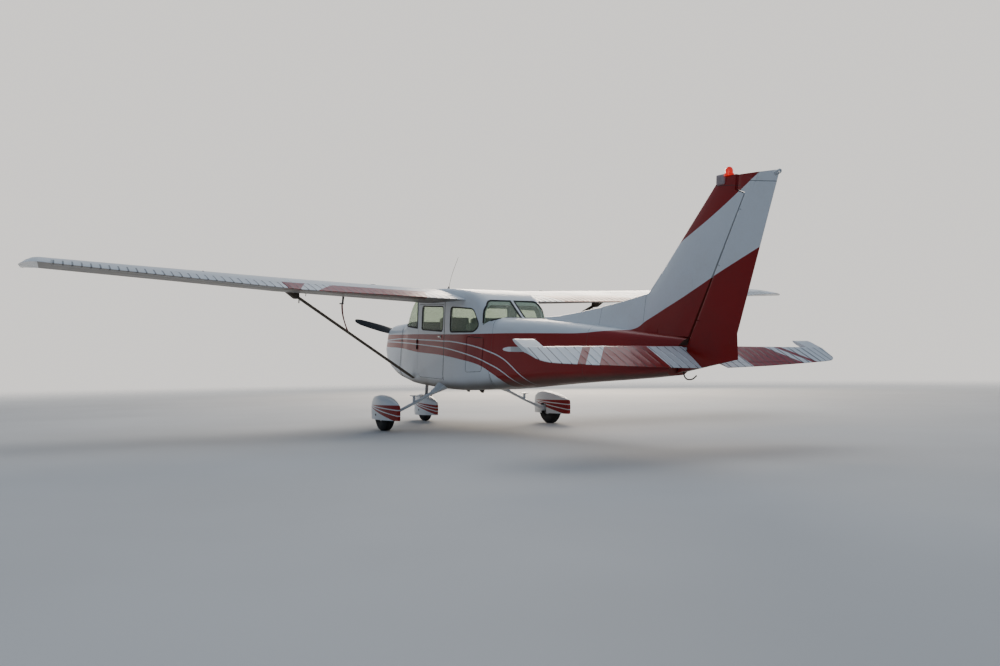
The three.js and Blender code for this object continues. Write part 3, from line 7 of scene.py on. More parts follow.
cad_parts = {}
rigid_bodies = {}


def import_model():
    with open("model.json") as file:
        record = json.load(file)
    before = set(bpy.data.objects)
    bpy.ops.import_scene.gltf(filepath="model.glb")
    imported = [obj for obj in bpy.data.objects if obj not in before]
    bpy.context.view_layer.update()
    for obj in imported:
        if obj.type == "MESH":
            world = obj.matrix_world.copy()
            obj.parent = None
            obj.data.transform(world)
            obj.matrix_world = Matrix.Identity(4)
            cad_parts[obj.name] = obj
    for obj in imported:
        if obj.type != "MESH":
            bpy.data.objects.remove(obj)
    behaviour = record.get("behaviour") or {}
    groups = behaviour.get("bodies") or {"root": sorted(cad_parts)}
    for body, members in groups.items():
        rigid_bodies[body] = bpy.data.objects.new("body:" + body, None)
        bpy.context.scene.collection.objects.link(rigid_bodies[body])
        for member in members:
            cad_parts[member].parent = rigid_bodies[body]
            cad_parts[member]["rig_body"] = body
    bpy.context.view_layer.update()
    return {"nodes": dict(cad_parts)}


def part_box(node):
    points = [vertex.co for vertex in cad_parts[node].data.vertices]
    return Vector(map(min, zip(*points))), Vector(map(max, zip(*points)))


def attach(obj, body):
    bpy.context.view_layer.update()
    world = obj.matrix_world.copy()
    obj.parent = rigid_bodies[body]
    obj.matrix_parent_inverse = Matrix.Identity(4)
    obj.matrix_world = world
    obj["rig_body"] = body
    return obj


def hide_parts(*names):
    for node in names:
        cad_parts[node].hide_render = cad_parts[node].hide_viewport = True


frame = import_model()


# The camera: behind the left wing, at eye height, looking forward at the cabin.
# The lens and the slight roll are those of the photograph.
eye = Vector((-8.9728, 5.1181, 0.8069))
to_right = Vector((-0.46858496, -0.88334441, -0.01143648))
to_top = Vector((-0.04178368, 0.00922992, 0.99908405))
ahead = Vector((0.88242975, -0.46863361, 0.04123438))
camera = bpy.data.objects.new("camera", bpy.data.cameras.new("camera"))
camera.matrix_world = Matrix.Translation(eye) @ Matrix((to_right, to_top, -ahead)).transposed().to_4x4()
camera.data.sensor_width = 36
camera.data.lens = 30.2547
camera.data.clip_end = 900
bpy.context.scene.collection.objects.link(camera)
bpy.context.scene.camera = camera


# The floor: one wide pale screed, matt all over, that thins out into the bright wall at the horizon.
# Its finish, like that of every piece, is a set of nodes, wired up with the three classes below.
class Wire:
    """A value on its way between two nodes: arithmetic on it adds the node that does it."""

    def __init__(self, bench, socket):
        self.bench = bench
        self.socket = socket

    def math(self, operation, *terms):
        return self.bench.node("ShaderNodeMath", {"operation": operation}, dict(enumerate(terms)))

    def __add__(self, other):
        return self.math("ADD", self, other)

    __radd__ = __add__

    def __sub__(self, other):
        return self.math("SUBTRACT", self, other)

    def __rsub__(self, other):
        return self.math("SUBTRACT", other, self)

    def __mul__(self, other):
        return self.math("MULTIPLY", self, other)

    __rmul__ = __mul__

    def __truediv__(self, other):
        return self.math("DIVIDE", self, other)

    def __lt__(self, other):
        return self.math("LESS_THAN", self, other)

    def __gt__(self, other):
        return self.math("GREATER_THAN", self, other)

    def __and__(self, other):
        return self.math("MINIMUM", self, other)

    def __or__(self, other):
        return self.math("MAXIMUM", self, other)

    def __invert__(self):
        return self.math("SUBTRACT", 1, self)

    def root(self):
        return self.math("SQRT", self)

    def size(self):
        """The value without its sign."""
        return self.math("ABSOLUTE", self)

    def near(self, place, reach):
        """1 within reach of place, 0 beyond it."""
        return self.math("COMPARE", self, place, reach)

    def wave(self, pitch):
        """The distance to the nearest multiple of pitch."""
        return self.math("PINGPONG", self, pitch / 2)

    def fade(self, start, end):
        """0 before start, 1 after end, and an eased rise between them."""
        return self.bench.node("ShaderNodeMapRange", {"interpolation_type": "SMOOTHSTEP"},
                               {"Value": self, "From Min": start, "From Max": end})

    def blend(self, below, above):
        """A colour: below where this value is 0, above where it is 1."""
        return self.bench.node("ShaderNodeMix", {"data_type": "RGBA"}, {0: self, 6: below, 7: above}, 2)


class Bench:
    """Where nodes are set out and wired up, for a finish or for the light."""

    def __init__(self, tree):
        self.tree = tree

    def node(self, kind, settings=None, sources=None, output=0):
        """Adds a node: its settings first, then its sockets, each a plain value or a wire."""
        made = self.tree.nodes.new(kind)
        for setting, value in (settings or {}).items():
            setattr(made, setting, value)
        for socket, value in (sources or {}).items():
            self.join(value, made.inputs[socket])
        return Wire(self, made.outputs[output])

    def join(self, value, socket):
        if isinstance(value, Wire):
            self.tree.links.new(value.socket, socket)
        else:
            socket.default_value = value

    def place(self):
        """Where the surface is, in metres."""
        return self.node("ShaderNodeTexCoord", output="Object")

    def noise(self, scale, detail=3):
        return self.node("ShaderNodeTexNoise", {}, {"Vector": self.place(), "Scale": scale, "Detail": detail})

    def axes(self, where=None):
        """The three distances of a place, as three wires."""
        split = self.node("ShaderNodeSeparateXYZ", {}, {0: where or self.place()}).socket.node
        return [Wire(self, socket) for socket in split.outputs]


class Finish(Bench):
    """The finish of a surface: a material and its shader, with the nodes that feed it."""

    def __init__(self, name, colour, roughness, **constants):
        self.material = bpy.data.materials.new(name)
        self.material.use_nodes = True
        self.material.diffuse_color = (*colour, 1)
        super().__init__(self.material.node_tree)
        self.shader = self.tree.nodes["Principled BSDF"]
        self.shader.inputs["Base Color"].default_value = (*colour, 1)
        self.shader.inputs["Roughness"].default_value = roughness
        for socket, value in constants.items():
            self.shader.inputs[socket.replace("_", " ")].default_value = value

    def colour(self, value):
        self.join(value, self.shader.inputs["Base Color"])

    def clouded(self, scale, darker, paler, detail=3):
        """Soft clouds of two colours: the higher the scale, the smaller they are."""
        clouds = self.noise(scale, detail).fade(0.3, 0.7)
        self.colour(clouds.blend((*darker, 1), (*paler, 1)))

    def rough(self, value):
        self.join(value, self.shader.inputs["Roughness"])

    def relief(self, height, depth, strength):
        """Raises the surface by height times depth, in metres."""
        bump = self.node("ShaderNodeBump", {}, {"Height": height, "Distance": depth, "Strength": strength})
        self.join(bump, self.shader.inputs["Normal"])


def pick(*pieces):
    """Takes these pieces in hand and puts all others down."""
    bpy.ops.object.select_all(action="DESELECT")
    for piece in pieces:
        piece.select_set(True)
    bpy.context.view_layer.objects.active = pieces[0]


FLOOR_SIZE = 800
NO_SCREED_BEYOND, ALL_SCREED_WITHIN = 38, 9

screed = Finish("screed", (0.62, 0.61, 0.59), 0.85)
screed.clouded(0.35, (0.57, 0.56, 0.54), (0.62, 0.61, 0.59))
floor_x, floor_y = screed.axes()[:2]
from_middle = (floor_x * floor_x + floor_y * floor_y).root()
screed.join(from_middle.fade(NO_SCREED_BEYOND, ALL_SCREED_WITHIN), screed.shader.inputs["Alpha"])
screed.relief(screed.noise(60), 0.002, 0.3)
bpy.ops.mesh.primitive_plane_add(size=FLOOR_SIZE)
floor = bpy.context.object
floor.name = "floor"
floor.data.materials.append(screed.material)


# The studio light: soft walls all round, palest beyond the far wing and cooler behind the camera, under a
# blue-grey dome that stays out of the picture. A broad sheet of light hangs overhead, a low warm one
# stands where the evening sun stood, and a weak cool one is on the camera's side.
WALL_GLOW = (1.0, 0.965, 0.92, 1)
WALL_SHADE = (0.10, 0.135, 0.20, 1)
DOME_BLUE = (0.20, 0.27, 0.37, 1)
PALEST_WAY = (0.80, -0.58, 0.12)
GLOW_FULL = 0.8
DOME_FOOT, DOME_ALONE = 0.12, 0.45
LAMPS_AIM = Vector((0, 0, 1))

sky = bpy.data.worlds.new("sky")
sky.use_nodes = True
light = Bench(sky.node_tree)
way = light.node("ShaderNodeTexCoord", output="Generated")
facing = light.node("ShaderNodeVectorMath", {"operation": "DOT_PRODUCT"}, {0: way, 1: PALEST_WAY}, "Value")
walls = light.node("ShaderNodeValToRGB", sources={"Fac": facing})
ramp = walls.socket.node.color_ramp
ramp.interpolation = "EASE"
for stop, position, colour in zip(ramp.elements, (0.0, GLOW_FULL), (WALL_SHADE, WALL_GLOW)):
    stop.position = position
    stop.color = colour
dome = light.axes(way)[2].fade(DOME_FOOT, DOME_ALONE).blend(walls, DOME_BLUE)
backdrop = light.node("ShaderNodeLightPath", output="Is Camera Ray").blend(dome, WALL_GLOW)
background = sky.node_tree.nodes["Background"]
light.join(backdrop, background.inputs["Color"])
background.inputs["Strength"].default_value = 1.1
bpy.context.scene.world = sky
for name, spot, size, power, tint in [
    ("overhead_sheet", (4, -3, 12), 14, 800, (1.0, 0.98, 0.95)),
    ("evening_sheet", (16, -11, 7.5), 9, 2600, (1.0, 0.86, 0.70)),
    ("near_sheet", (-12, 14, 6), 8, 170, (0.90, 0.95, 1.0)),
]:
    lamp = bpy.data.objects.new(name, bpy.data.lights.new(name, "AREA"))
    lamp.data.size = size
    lamp.data.energy = power
    lamp.data.color = tint
    lamp.data.specular_factor = 0.3
    lamp.location = spot
    lamp.rotation_euler = (LAMPS_AIM - Vector(spot)).to_track_quat("-Z", "Y").to_euler()
    bpy.context.scene.collection.objects.link(lamp)


# The cabin shell: aluminium sheet riveted over frames, sprayed white with a sweeping red band.
# The inside is lined with pale vinyl, and the floor with grey carpet.
PITCH = radians(3.3)
AXLE = (-1.478, 0.222)
SHIFT = (3.0048979622498346, -0.0002643470519169)


def station(x, y, z):
    """A point of the side drawing, x forward of the firewall and z above the ground line, as it stands."""
    along, over = x - AXLE[0], z - AXLE[1]
    return Vector((AXLE[0] + along * cos(PITCH) - over * sin(PITCH) + SHIFT[0], y,
                   AXLE[1] + along * sin(PITCH) + over * cos(PITCH) + SHIFT[1]))


def drawing(point):
    """The other way round: a standing point, back on the side drawing."""
    along, over = point[0] - SHIFT[0] - AXLE[0], point[2] - SHIFT[1] - AXLE[1]
    return Vector((AXLE[0] + along * cos(PITCH) + over * sin(PITCH), point[1],
                   AXLE[1] - along * sin(PITCH) + over * cos(PITCH)))


def on_drawing(finish):
    """The side drawing's x, y and z at each place of the surface."""
    level = finish.node("ShaderNodeMapping", {"vector_type": "POINT"},
                        {"Vector": finish.place(), "Rotation": (0, PITCH, 0), "Location": drawing((0, 0, 0))})
    return finish.axes(level)


WHITE = (0.71, 0.735, 0.75, 1)
RED = (0.27, 0.006, 0.004, 1)
DUSTY_WHITE = (0.66, 0.665, 0.655, 1)
DUSTY_RED = (0.215, 0.009, 0.006, 1)
# Oil grime and painted shade on the undersides.
OIL_AND_SHADE_BROWN = (0.11, 0.085, 0.06, 1)
HEAD_GRIME = (0.10, 0.09, 0.08, 1)
# Painted shadow lines beside pressed beads.
BEAD_SHADOW_DARK = (0.04, 0.036, 0.034, 1)
GROOVE_GRIME = (0.03, 0.028, 0.026, 1)
GAP_BLACK = (0.012, 0.011, 0.010, 1)


def enamel(name):
    """Polished two-pack enamel; its colour is given by enamel_coat."""
    return Finish(name, WHITE[:3], 0.30, Coat_Weight=0.08, Coat_Roughness=0.10, Specular_IOR_Level=0.3)


def enamel_coat(finish, red=None, grooves=None, heads=None, folds=None, gaps=None):
    """Sprays white on, and red where red is 1, with dust, and a brown underside of oil grime and painted
    shade. Grooves, rivet heads, painted shadow lines at folds and open gaps show where their value is 1."""
    clouds = finish.noise(1.7, 5)
    fine = finish.noise(38, 4)
    below = (finish.axes(finish.node("ShaderNodeNewGeometry", output="Normal"))[2] * -1).fade(0.25, 0.85)
    dust = (clouds * 0.7 + fine * 0.3).fade(0.42, 0.78)
    coat = dust.blend(WHITE, DUSTY_WHITE)
    if red is not None:
        coat = red.blend(coat, dust.blend(RED, DUSTY_RED))
    # Downward faces turn brown: oil grime, with painted shade where the light does not reach.
    coat = (below * (clouds * 0.3 + 0.66)).blend(coat, OIL_AND_SHADE_BROWN)
    height = fine * 0.04
    if heads is not None:
        height = height + heads
        coat = (heads * 0.18).blend(coat, HEAD_GRIME)
    # Folds get a thin dark line: painted shadow beside each bead.
    if folds is not None:
        coat = (folds * 0.8).blend(coat, BEAD_SHADOW_DARK)
    if grooves is not None:
        height = height - grooves * 2
        coat = (grooves * 0.75).blend(coat, GROOVE_GRIME)
    if gaps is not None:
        height = height - gaps * 3
        coat = (gaps * 0.93).blend(coat, GAP_BLACK)
    finish.colour(coat)
    finish.rough(dust * 0.14 + 0.30 + below * 0.35)
    finish.relief(height, 0.0010, 0.5)


RIVET_RADIUS = 0.0026


def rivet_rows(along, across, pitch, spacing):
    """Domed rivet heads, a pitch apart, in rows that lie a spacing apart."""
    u, v = along.wave(pitch), across.wave(spacing)
    return (u * u + v * v).root() < RIVET_RADIUS


def edge_line(finish, x, points):
    """The height of a masked paint edge: a fair curve through (station, height) points."""
    aft, fore, low, high = -7.1, 1.3, 0.3, 2.9
    made = finish.tree.nodes.new("ShaderNodeFloatCurve")
    curve = made.mapping.curves[0]
    spots = sorted(((px - aft) / (fore - aft), (pz - low) / (high - low)) for px, pz in points)
    curve.points[0].location = spots[0]
    curve.points[1].location = spots[-1]
    for spot in spots[1:-1]:
        curve.points.new(*spot)
    made.mapping.update()
    finish.join((x - aft) * (1 / (fore - aft)), made.inputs["Value"])
    return Wire(finish, made.outputs[0]) * (high - low) + low


BAND_TOP = [(1.3, 1.205), (0.812, 1.225), (0.046, 1.241), (-0.693, 1.259), (-1.609, 1.273), (-2.127, 1.283),
            (-2.905, 1.307), (-3.368, 1.318), (-4.0, 1.328), (-4.514, 1.340), (-4.769, 1.362),
            (-4.976, 1.375), (-5.213, 1.392), (-5.393, 1.474), (-5.629, 1.574), (-5.855, 1.667),
            (-6.096, 1.773), (-6.323, 1.877), (-6.603, 1.998), (-6.8, 2.081), (-7.1, 2.208)]
UPPER_PINSTRIPE = [(1.3, 1.118), (0.692, 1.141), (0.03, 1.177), (-0.703, 1.181), (-1.226, 1.183),
                   (-1.616, 1.182), (-1.904, 1.181), (-2.135, 1.169), (-2.484, 1.138), (-2.823, 1.083),
                   (-3.074, 1.027), (-3.332, 0.925), (-3.544, 0.812), (-3.66, 0.735), (-3.9, 0.58),
                   (-7.1, 0.31)]
LOWER_PINSTRIPE = [(1.3, 1.09), (0.679, 1.114), (0.017, 1.120), (-0.713, 1.115), (-1.233, 1.104),
                   (-1.623, 1.093), (-2.145, 1.051), (-2.58, 0.991), (-2.852, 0.933), (-3.106, 0.869),
                   (-3.294, 0.788), (-3.392, 0.730), (-3.7, 0.55), (-7.1, 0.31)]
BAND_FOOT = [(1.3, 1.030), (0.541, 1.034), (-0.002, 1.035), (-0.725, 1.004), (-1.241, 0.998), (-1.631, 0.990),
             (-2.152, 0.959), (-2.59, 0.914), (-2.87, 0.844), (-3.081, 0.759), (-3.171, 0.698), (-3.4, 0.56),
             (-3.8, 0.31), (-7.1, 0.31)]
FIN_CORNER = [(1.3, 2.9), (-5.2, 1.94), (-5.885, 2.220), (-6.127, 2.327), (-6.334, 2.431), (-6.803, 2.696),
              (-7.1, 2.85)]

PINSTRIPE_HALF = 0.0075
HULL_MIDDLE, HULL_RADIUS = 1.15, 0.62
HEAD_PITCH = 0.032
LAP = 0.0022
CAP_SLIT = 0.003

hull_paint = enamel("hull_paint")
hx, hy, hz = on_drawing(hull_paint)
band = (hz < edge_line(hull_paint, hx, BAND_TOP)) & (hz > edge_line(hull_paint, hx, BAND_FOOT))
pinstripes = (hz.near(edge_line(hull_paint, hx, UPPER_PINSTRIPE), PINSTRIPE_HALF)
              | hz.near(edge_line(hull_paint, hx, LOWER_PINSTRIPE), PINSTRIPE_HALF))
corner = (hz > edge_line(hull_paint, hx, FIN_CORNER)) & (hx < -5.2)
around = hy.math("ARCTAN2", hy, hz - HULL_MIDDLE) * HULL_RADIUS
frames = rivet_rows(around, hx + 0.05, HEAD_PITCH, 0.46)
stringers = rivet_rows(hx, around, HEAD_PITCH, 0.26)
laps = hx.near(-2.86, LAP) | hx.near(-4.60, LAP) | (hx.near(-5.345, 0.0025) & (hz > 1.39))
cowl_gap = hx.near(0.018, 0.012) & (hz < 1.33)
door_gap = hx.near(-1.642, 0.009) & (hz > 0.66) & (hz < 1.74)
drain = hx.near(-2.88, 0.006) & (hz > 0.715) & (hz < 0.815)
rudder_cap = (hz - hx * 0.156).near(3.690, CAP_SLIT) & (hx < -6.70) & (hz > 2.5)
fin_cap = (hz - hx * 0.116).near(3.387, CAP_SLIT) & (hx < -6.28) & (hx > -6.60)
enamel_coat(hull_paint, (band & ~pinstripes) | corner, laps | drain | rudder_cap | fin_cap,
            (frames | stringers) & (hz < 1.9), gaps=cowl_gap | door_gap)

lining = Finish("lining_vinyl", (0.50, 0.49, 0.43), 0.65)
lining.clouded(5, (0.46, 0.45, 0.39), (0.54, 0.53, 0.46))
lining.relief(lining.noise(420, 2), 0.0006, 0.5)

carpet = Finish("floor_carpet", (0.06, 0.06, 0.065), 0.95)
carpet.clouded(90, (0.04, 0.04, 0.045), (0.09, 0.09, 0.095))
carpet.relief(carpet.noise(700, 2), 0.002, 0.8)

SAME_CORNER = 0.00003


def shaded(piece, crease):
    """Smooth over gentle angles, sharp over folds, with flat faces kept flat up to their rounded edges."""
    pick(piece)
    bpy.ops.mesh.customdata_custom_splitnormals_clear()
    bpy.ops.object.shade_smooth_by_angle(angle=radians(crease))
    level_out = piece.modifiers.new("level_out", "WEIGHTED_NORMAL")
    level_out.keep_sharp = True
    bpy.ops.object.modifier_apply(modifier="level_out")


def dressed(name, node, slot, *finishes, crease=34):
    """A finished skin over one plain solid: corners merged, curves shaded smooth, folds kept sharp."""
    plain = frame["nodes"][node]
    skin = plain.copy()
    skin.data = plain.data.copy()
    for mark in list(skin.keys()):
        del skin[mark]
    skin.name = skin.data.name = name
    skin.parent = None
    bpy.context.scene.collection.objects.link(skin)
    pick(skin)
    bpy.ops.mesh.customdata_custom_splitnormals_clear()
    bpy.ops.object.mode_set(mode="EDIT")
    bpy.ops.mesh.select_all(action="SELECT")
    bpy.ops.mesh.remove_doubles(threshold=SAME_CORNER)
    bpy.ops.object.mode_set(mode="OBJECT")
    shaded(skin, crease)
    skin.data.materials.clear()
    for finish in finishes:
        skin.data.materials.append(finish.material)
    for face in skin.data.polygons:
        face.material_index = 0
    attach(skin, plain["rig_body"])
    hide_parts(node)
    return skin


CABIN_MIDDLE = 1.25
CABIN_HEART = station(-1.35, 0, CABIN_MIDDLE)
CABIN_ENDS = (-2.6, -0.25)
CARPET_BELOW = 0.67
BAGGAGE_WALL = -3.2
FACES_IN = 0.25


def line_inside(skin):
    """Gives the inner faces of a shell its second finish, and the floor the third."""
    for face in skin.data.polygons:
        level = drawing(face.center)
        axis = station(min(max(level.x, CABIN_ENDS[0]), CABIN_ENDS[1]), 0, CABIN_MIDDLE)
        inward = face.normal.dot((axis - face.center).normalized())
        if inward > FACES_IN and BAGGAGE_WALL < level.x < 0.0:
            face.material_index = 2 if level.z < CARPET_BELOW and face.normal.z > 0.9 else 1


cabin_skin = dressed("cabin_skin", "cabin", "white_paint", hull_paint, lining, carpet)
line_inside(cabin_skin)


# The instrument panel: a black crackle-painted sheet under a padded hood, with two control wheels
# and two rows of round dials, each an aluminium bezel ring over a dark face.
def pitted(name, colour, roughness, scale=300, depth=0.0004, **constants):
    """A moulded, cast or crackle-painted surface: one colour, slightly clouded, with a fine grain."""
    finish = Finish(name, colour, roughness, **constants)
    finish.clouded(14, [part * 0.72 for part in colour], colour, 4)
    finish.rough(finish.noise(30) * 0.2 + (roughness - 0.1))
    finish.relief(finish.noise(scale, 2), depth, 0.6)
    return finish


panel_black = pitted("panel_black", (0.028, 0.028, 0.03), 0.6)
bezel_metal = pitted("bezel_metal", (0.16, 0.16, 0.165), 0.4, Metallic=1.0)
dressed("panel_skin", "instrument_panel", "panel_black", panel_black)


def turned(name, profile, centre, axis, steps):
    """Turns a piece as on a lathe: profile holds (radius, distance along the axis) points."""
    axis = Vector(axis).normalized()
    out = axis.orthogonal().normalized()
    spots = [Vector(centre) + out * radius + axis * along for radius, along in profile]
    bpy.ops.object.select_all(action="DESELECT")
    bpy.ops.mesh.primitive_plane_add(size=0.001, location=spots[0])
    piece = bpy.context.object
    piece.name = piece.data.name = name
    bpy.ops.object.mode_set(mode="EDIT")
    bpy.ops.mesh.select_mode(type="VERT")
    bpy.ops.mesh.select_all(action="SELECT")
    bpy.ops.mesh.merge(type="CENTER")
    for start, end in zip(spots, spots[1:]):
        bpy.ops.mesh.extrude_region_move(TRANSFORM_OT_translate={"value": end - start})
    bpy.ops.mesh.select_all(action="SELECT")
    bpy.ops.mesh.spin(steps=steps, angle=2 * pi, center=centre, axis=axis)
    bpy.ops.mesh.select_all(action="SELECT")
    bpy.ops.mesh.remove_doubles(threshold=0.00004)
    bpy.ops.mesh.normals_make_consistent(inside=False)
    bpy.ops.object.mode_set(mode="OBJECT")
    bpy.ops.object.transform_apply(location=True, rotation=True, scale=True)
    return piece


def fitted(piece, finish, body, crease=34):
    """Gives a modelled piece its smooth shading, finish and body."""
    pick(piece)
    bpy.ops.object.transform_apply(location=True, rotation=True, scale=True)
    bpy.ops.object.shade_smooth_by_angle(angle=radians(crease))
    piece.data.materials.clear()
    piece.data.materials.append(finish.material)
    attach(piece, body)
    return piece


def joined(name, pieces):
    """Makes one piece of several."""
    pick(*pieces)
    bpy.ops.object.join()
    whole = bpy.context.object
    whole.name = whole.data.name = name
    return whole


def copied(piece, shift):
    """A second one of a modelled piece, with its own mesh, moved by shift."""
    pick(piece)
    bpy.ops.object.duplicate(linked=False)
    again = bpy.context.object
    again.data.transform(Matrix.Translation(shift))
    return again


AFT = (station(-1, 0, 0) - station(0, 0, 0)).normalized()
DIAL = [(0.0, 0.0), (0.026, 0.0), (0.027, 0.005), (0.032, 0.006), (0.0345, 0.003), (0.0345, -0.004),
        (0.0, -0.004)]
DIAL_LEFT, DIAL_TOP = 0.235, 1.30
DIAL_SPACE, DIAL_DROP = 0.085, 0.09
first_dial = turned("dial", DIAL, station(-0.416, DIAL_LEFT, DIAL_TOP), AFT, 24)
dials = [first_dial]
for row in range(2):
    for column in range(6):
        if row or column:
            shift = (station(0, DIAL_LEFT - DIAL_SPACE * column, DIAL_TOP - DIAL_DROP * row)
                     - station(0, DIAL_LEFT, DIAL_TOP))
            dials.append(copied(first_dial, shift))
fitted(joined("dials", dials), bezel_metal, "airframe")


# The seats: foam cushions in grey-brown cloth on painted tube frames, two in front and a bench behind.
# Each cushion is crowned, drawn in between its corners, and piped round its edge.
THREAD, THREAD_GAIN = 0.0030, 444000
CHANNEL_HALF = 0.03
SIDES = ((1, "left"), (-1, "right"))

cloth = Finish("seat_cloth", (0.17, 0.15, 0.13), 0.9, Sheen_Weight=0.25, Sheen_Roughness=0.5)
cloth_x, cloth_y, cloth_z = cloth.axes()
threads = (cloth_x + cloth_z).wave(THREAD) * cloth_y.wave(THREAD) * THREAD_GAIN
cloth.colour((cloth.noise(9, 4) * 0.6 + threads * 0.4).fade(0.2, 0.8)
             .blend((0.32, 0.30, 0.23, 1), (0.48, 0.44, 0.35, 1)))
cloth.relief(threads, 0.0008, 0.7)
frame_grey = pitted("frame_grey", (0.10, 0.10, 0.105), 0.5)


def block(name, spot, size, tilt=0):
    """A square block at its place, in metres, to be shaped further."""
    bpy.ops.object.select_all(action="DESELECT")
    bpy.ops.mesh.primitive_cube_add(size=1, location=spot)
    piece = bpy.context.object
    piece.name = piece.data.name = name
    piece.scale = size
    piece.rotation_euler = (0, tilt, 0)
    bpy.ops.object.transform_apply(location=False, rotation=True, scale=True)
    return piece


def cushion(name, centre, size, lean):
    """A stuffed block: its faces crown outwards, its corners stay put, its rim carries a welt, and two
    channels are drawn in along its thin way."""
    pad = block(name, (0, 0, 0), size)
    bpy.ops.object.mode_set(mode="EDIT")
    bpy.ops.mesh.select_all(action="SELECT")
    bpy.ops.mesh.subdivide(number_cuts=9)
    bpy.ops.object.mode_set(mode="OBJECT")
    half = Vector(size) / 2
    lying = size[2] < size[0]
    swell = (0.010, 0.008, 0.022) if lying else (0.022, 0.008, 0.010)
    for point in pad.data.vertices:
        u = [point.co[i] / half[i] for i in range(3)]
        for i in range(3):
            j, k = (i + 1) % 3, (i + 2) % 3
            crown = (1 - u[j] ** 2) * (1 - u[k] ** 2)
            point.co[i] += u[i] * swell[i] * (crown - 0.35 * (1 - abs(u[i])))
    thin = 2 if lying else 0
    channel = (0.145 if size[1] > 0.6 else 0.095) * size[1] / 0.40
    for point in pad.data.vertices:
        for middle in (-channel, channel):
            away = abs(point.co.y - middle)
            if away < CHANNEL_HALF and abs(point.co[thin]) > half[thin] * 0.6:
                point.co[thin] *= 1 - 0.10 * (1 - away / CHANNEL_HALF)
    pick(pad)
    bevel = pad.modifiers.new("welt", "BEVEL")
    bevel.width = 0.012
    bevel.segments = 3
    bevel.limit_method = "ANGLE"
    bevel.angle_limit = radians(50)
    round_off = pad.modifiers.new("round", "SUBSURF")
    round_off.levels = round_off.render_levels = 1
    bpy.ops.object.modifier_apply(modifier="welt")
    bpy.ops.object.modifier_apply(modifier="round")
    pad.data.transform(Matrix.Translation(centre) @ Matrix.Rotation(-PITCH - lean, 4, "Y"))
    fitted(pad, cloth, "airframe", 80)
    return pad


def bent_line(name, points):
    """A fair curve through points, taken in hand."""
    curve = bpy.data.curves.new(name, "CURVE")
    curve.dimensions = "3D"
    run = curve.splines.new("BEZIER")
    run.bezier_points.add(len(points) - 1)
    for knot, point in zip(run.bezier_points, points):
        knot.co = point
        knot.handle_left_type = knot.handle_right_type = "AUTO"
    line = bpy.data.objects.new(name, curve)
    bpy.context.scene.collection.objects.link(line)
    pick(line)
    return line


def rail(name, points, thickness, finish, body):
    """A bent tube or rubber strip along a line of points."""
    curve = bent_line(name, points).data
    curve.bevel_depth = thickness / 2
    curve.bevel_resolution = 3
    curve.use_fill_caps = True
    bpy.ops.object.convert(target="MESH")
    return fitted(bpy.context.object, finish, body, 60)


for side, hand in SIDES:
    y = side * 0.235
    base = cushion(f"front_cushion_{hand}", station(-1.125, y, 0.935), (0.50, 0.40, 0.13), 0.0)
    back = cushion(f"front_back_{hand}", station(-1.425, y, 1.235), (0.11, 0.40, 0.53), radians(-14))
    hoop = [station(x, y, z) for x, z in ((-0.93, 0.62), (-0.93, 0.85), (-1.36, 0.85), (-1.36, 0.62))]
    hoops = [rail("hoop", [spot + Vector((0, apart, 0)) for spot in hoop], 0.022, frame_grey, "airframe") for apart in (-0.16, 0.16)]
    seat_frame = joined(f"front_seat_frame_{hand}", hoops)
    for piece in (base, back, seat_frame):
        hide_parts(f"seat_front_{hand}")
bench_base = cushion("bench_cushion", station(-1.95, 0, 0.935), (0.50, 0.86, 0.13), 0.0)
bench_back = cushion("bench_back", station(-2.255, 0, 1.20), (0.11, 0.86, 0.46), radians(-16))
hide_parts("rear_bench")
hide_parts("rear_bench")


# The windows: blown acrylic with a slight green cast, set in black rubber channel in the skin.
# The outer edge of each pane is picked out and carries the rubber.
# The rubber is drawn wider than the seal itself: the extra width is painted shade on the white frame round
# each pane.
WINDOW_RUBBER_AND_SHADE = 0.024
SHARP_FOLD = radians(38)
FACES_OUT, TURNS_IN = 0.42, 0.35
HEAD_ON_SHINE, GRAZING_SHINE = 0.035, 0.55
HAZE = 0.11

glass = Finish("window_acrylic", (0.44, 0.50, 0.38), 0.06)
clear = glass.node("ShaderNodeBsdfTransparent", {}, {"Color": (0.90, 0.945, 0.87, 1)})
grazing = glass.node("ShaderNodeLayerWeight", {}, {"Blend": 0.5}, "Facing")
shine = grazing.math("POWER", grazing, 4) * GRAZING_SHINE + HEAD_ON_SHINE
haze = glass.noise(26, 4).fade(0.35, 0.8) * 0.06 + HAZE
mixed = glass.node("ShaderNodeMixShader", {}, {0: shine + haze, 1: clear,
                                               2: Wire(glass, glass.shader.outputs[0])})
glass.tree.links.new(mixed.socket, glass.tree.nodes["Material Output"].inputs["Surface"])
glass.material.surface_render_method = "BLENDED"

rubber = pitted("window_rubber", (0.034, 0.027, 0.021), 0.75)


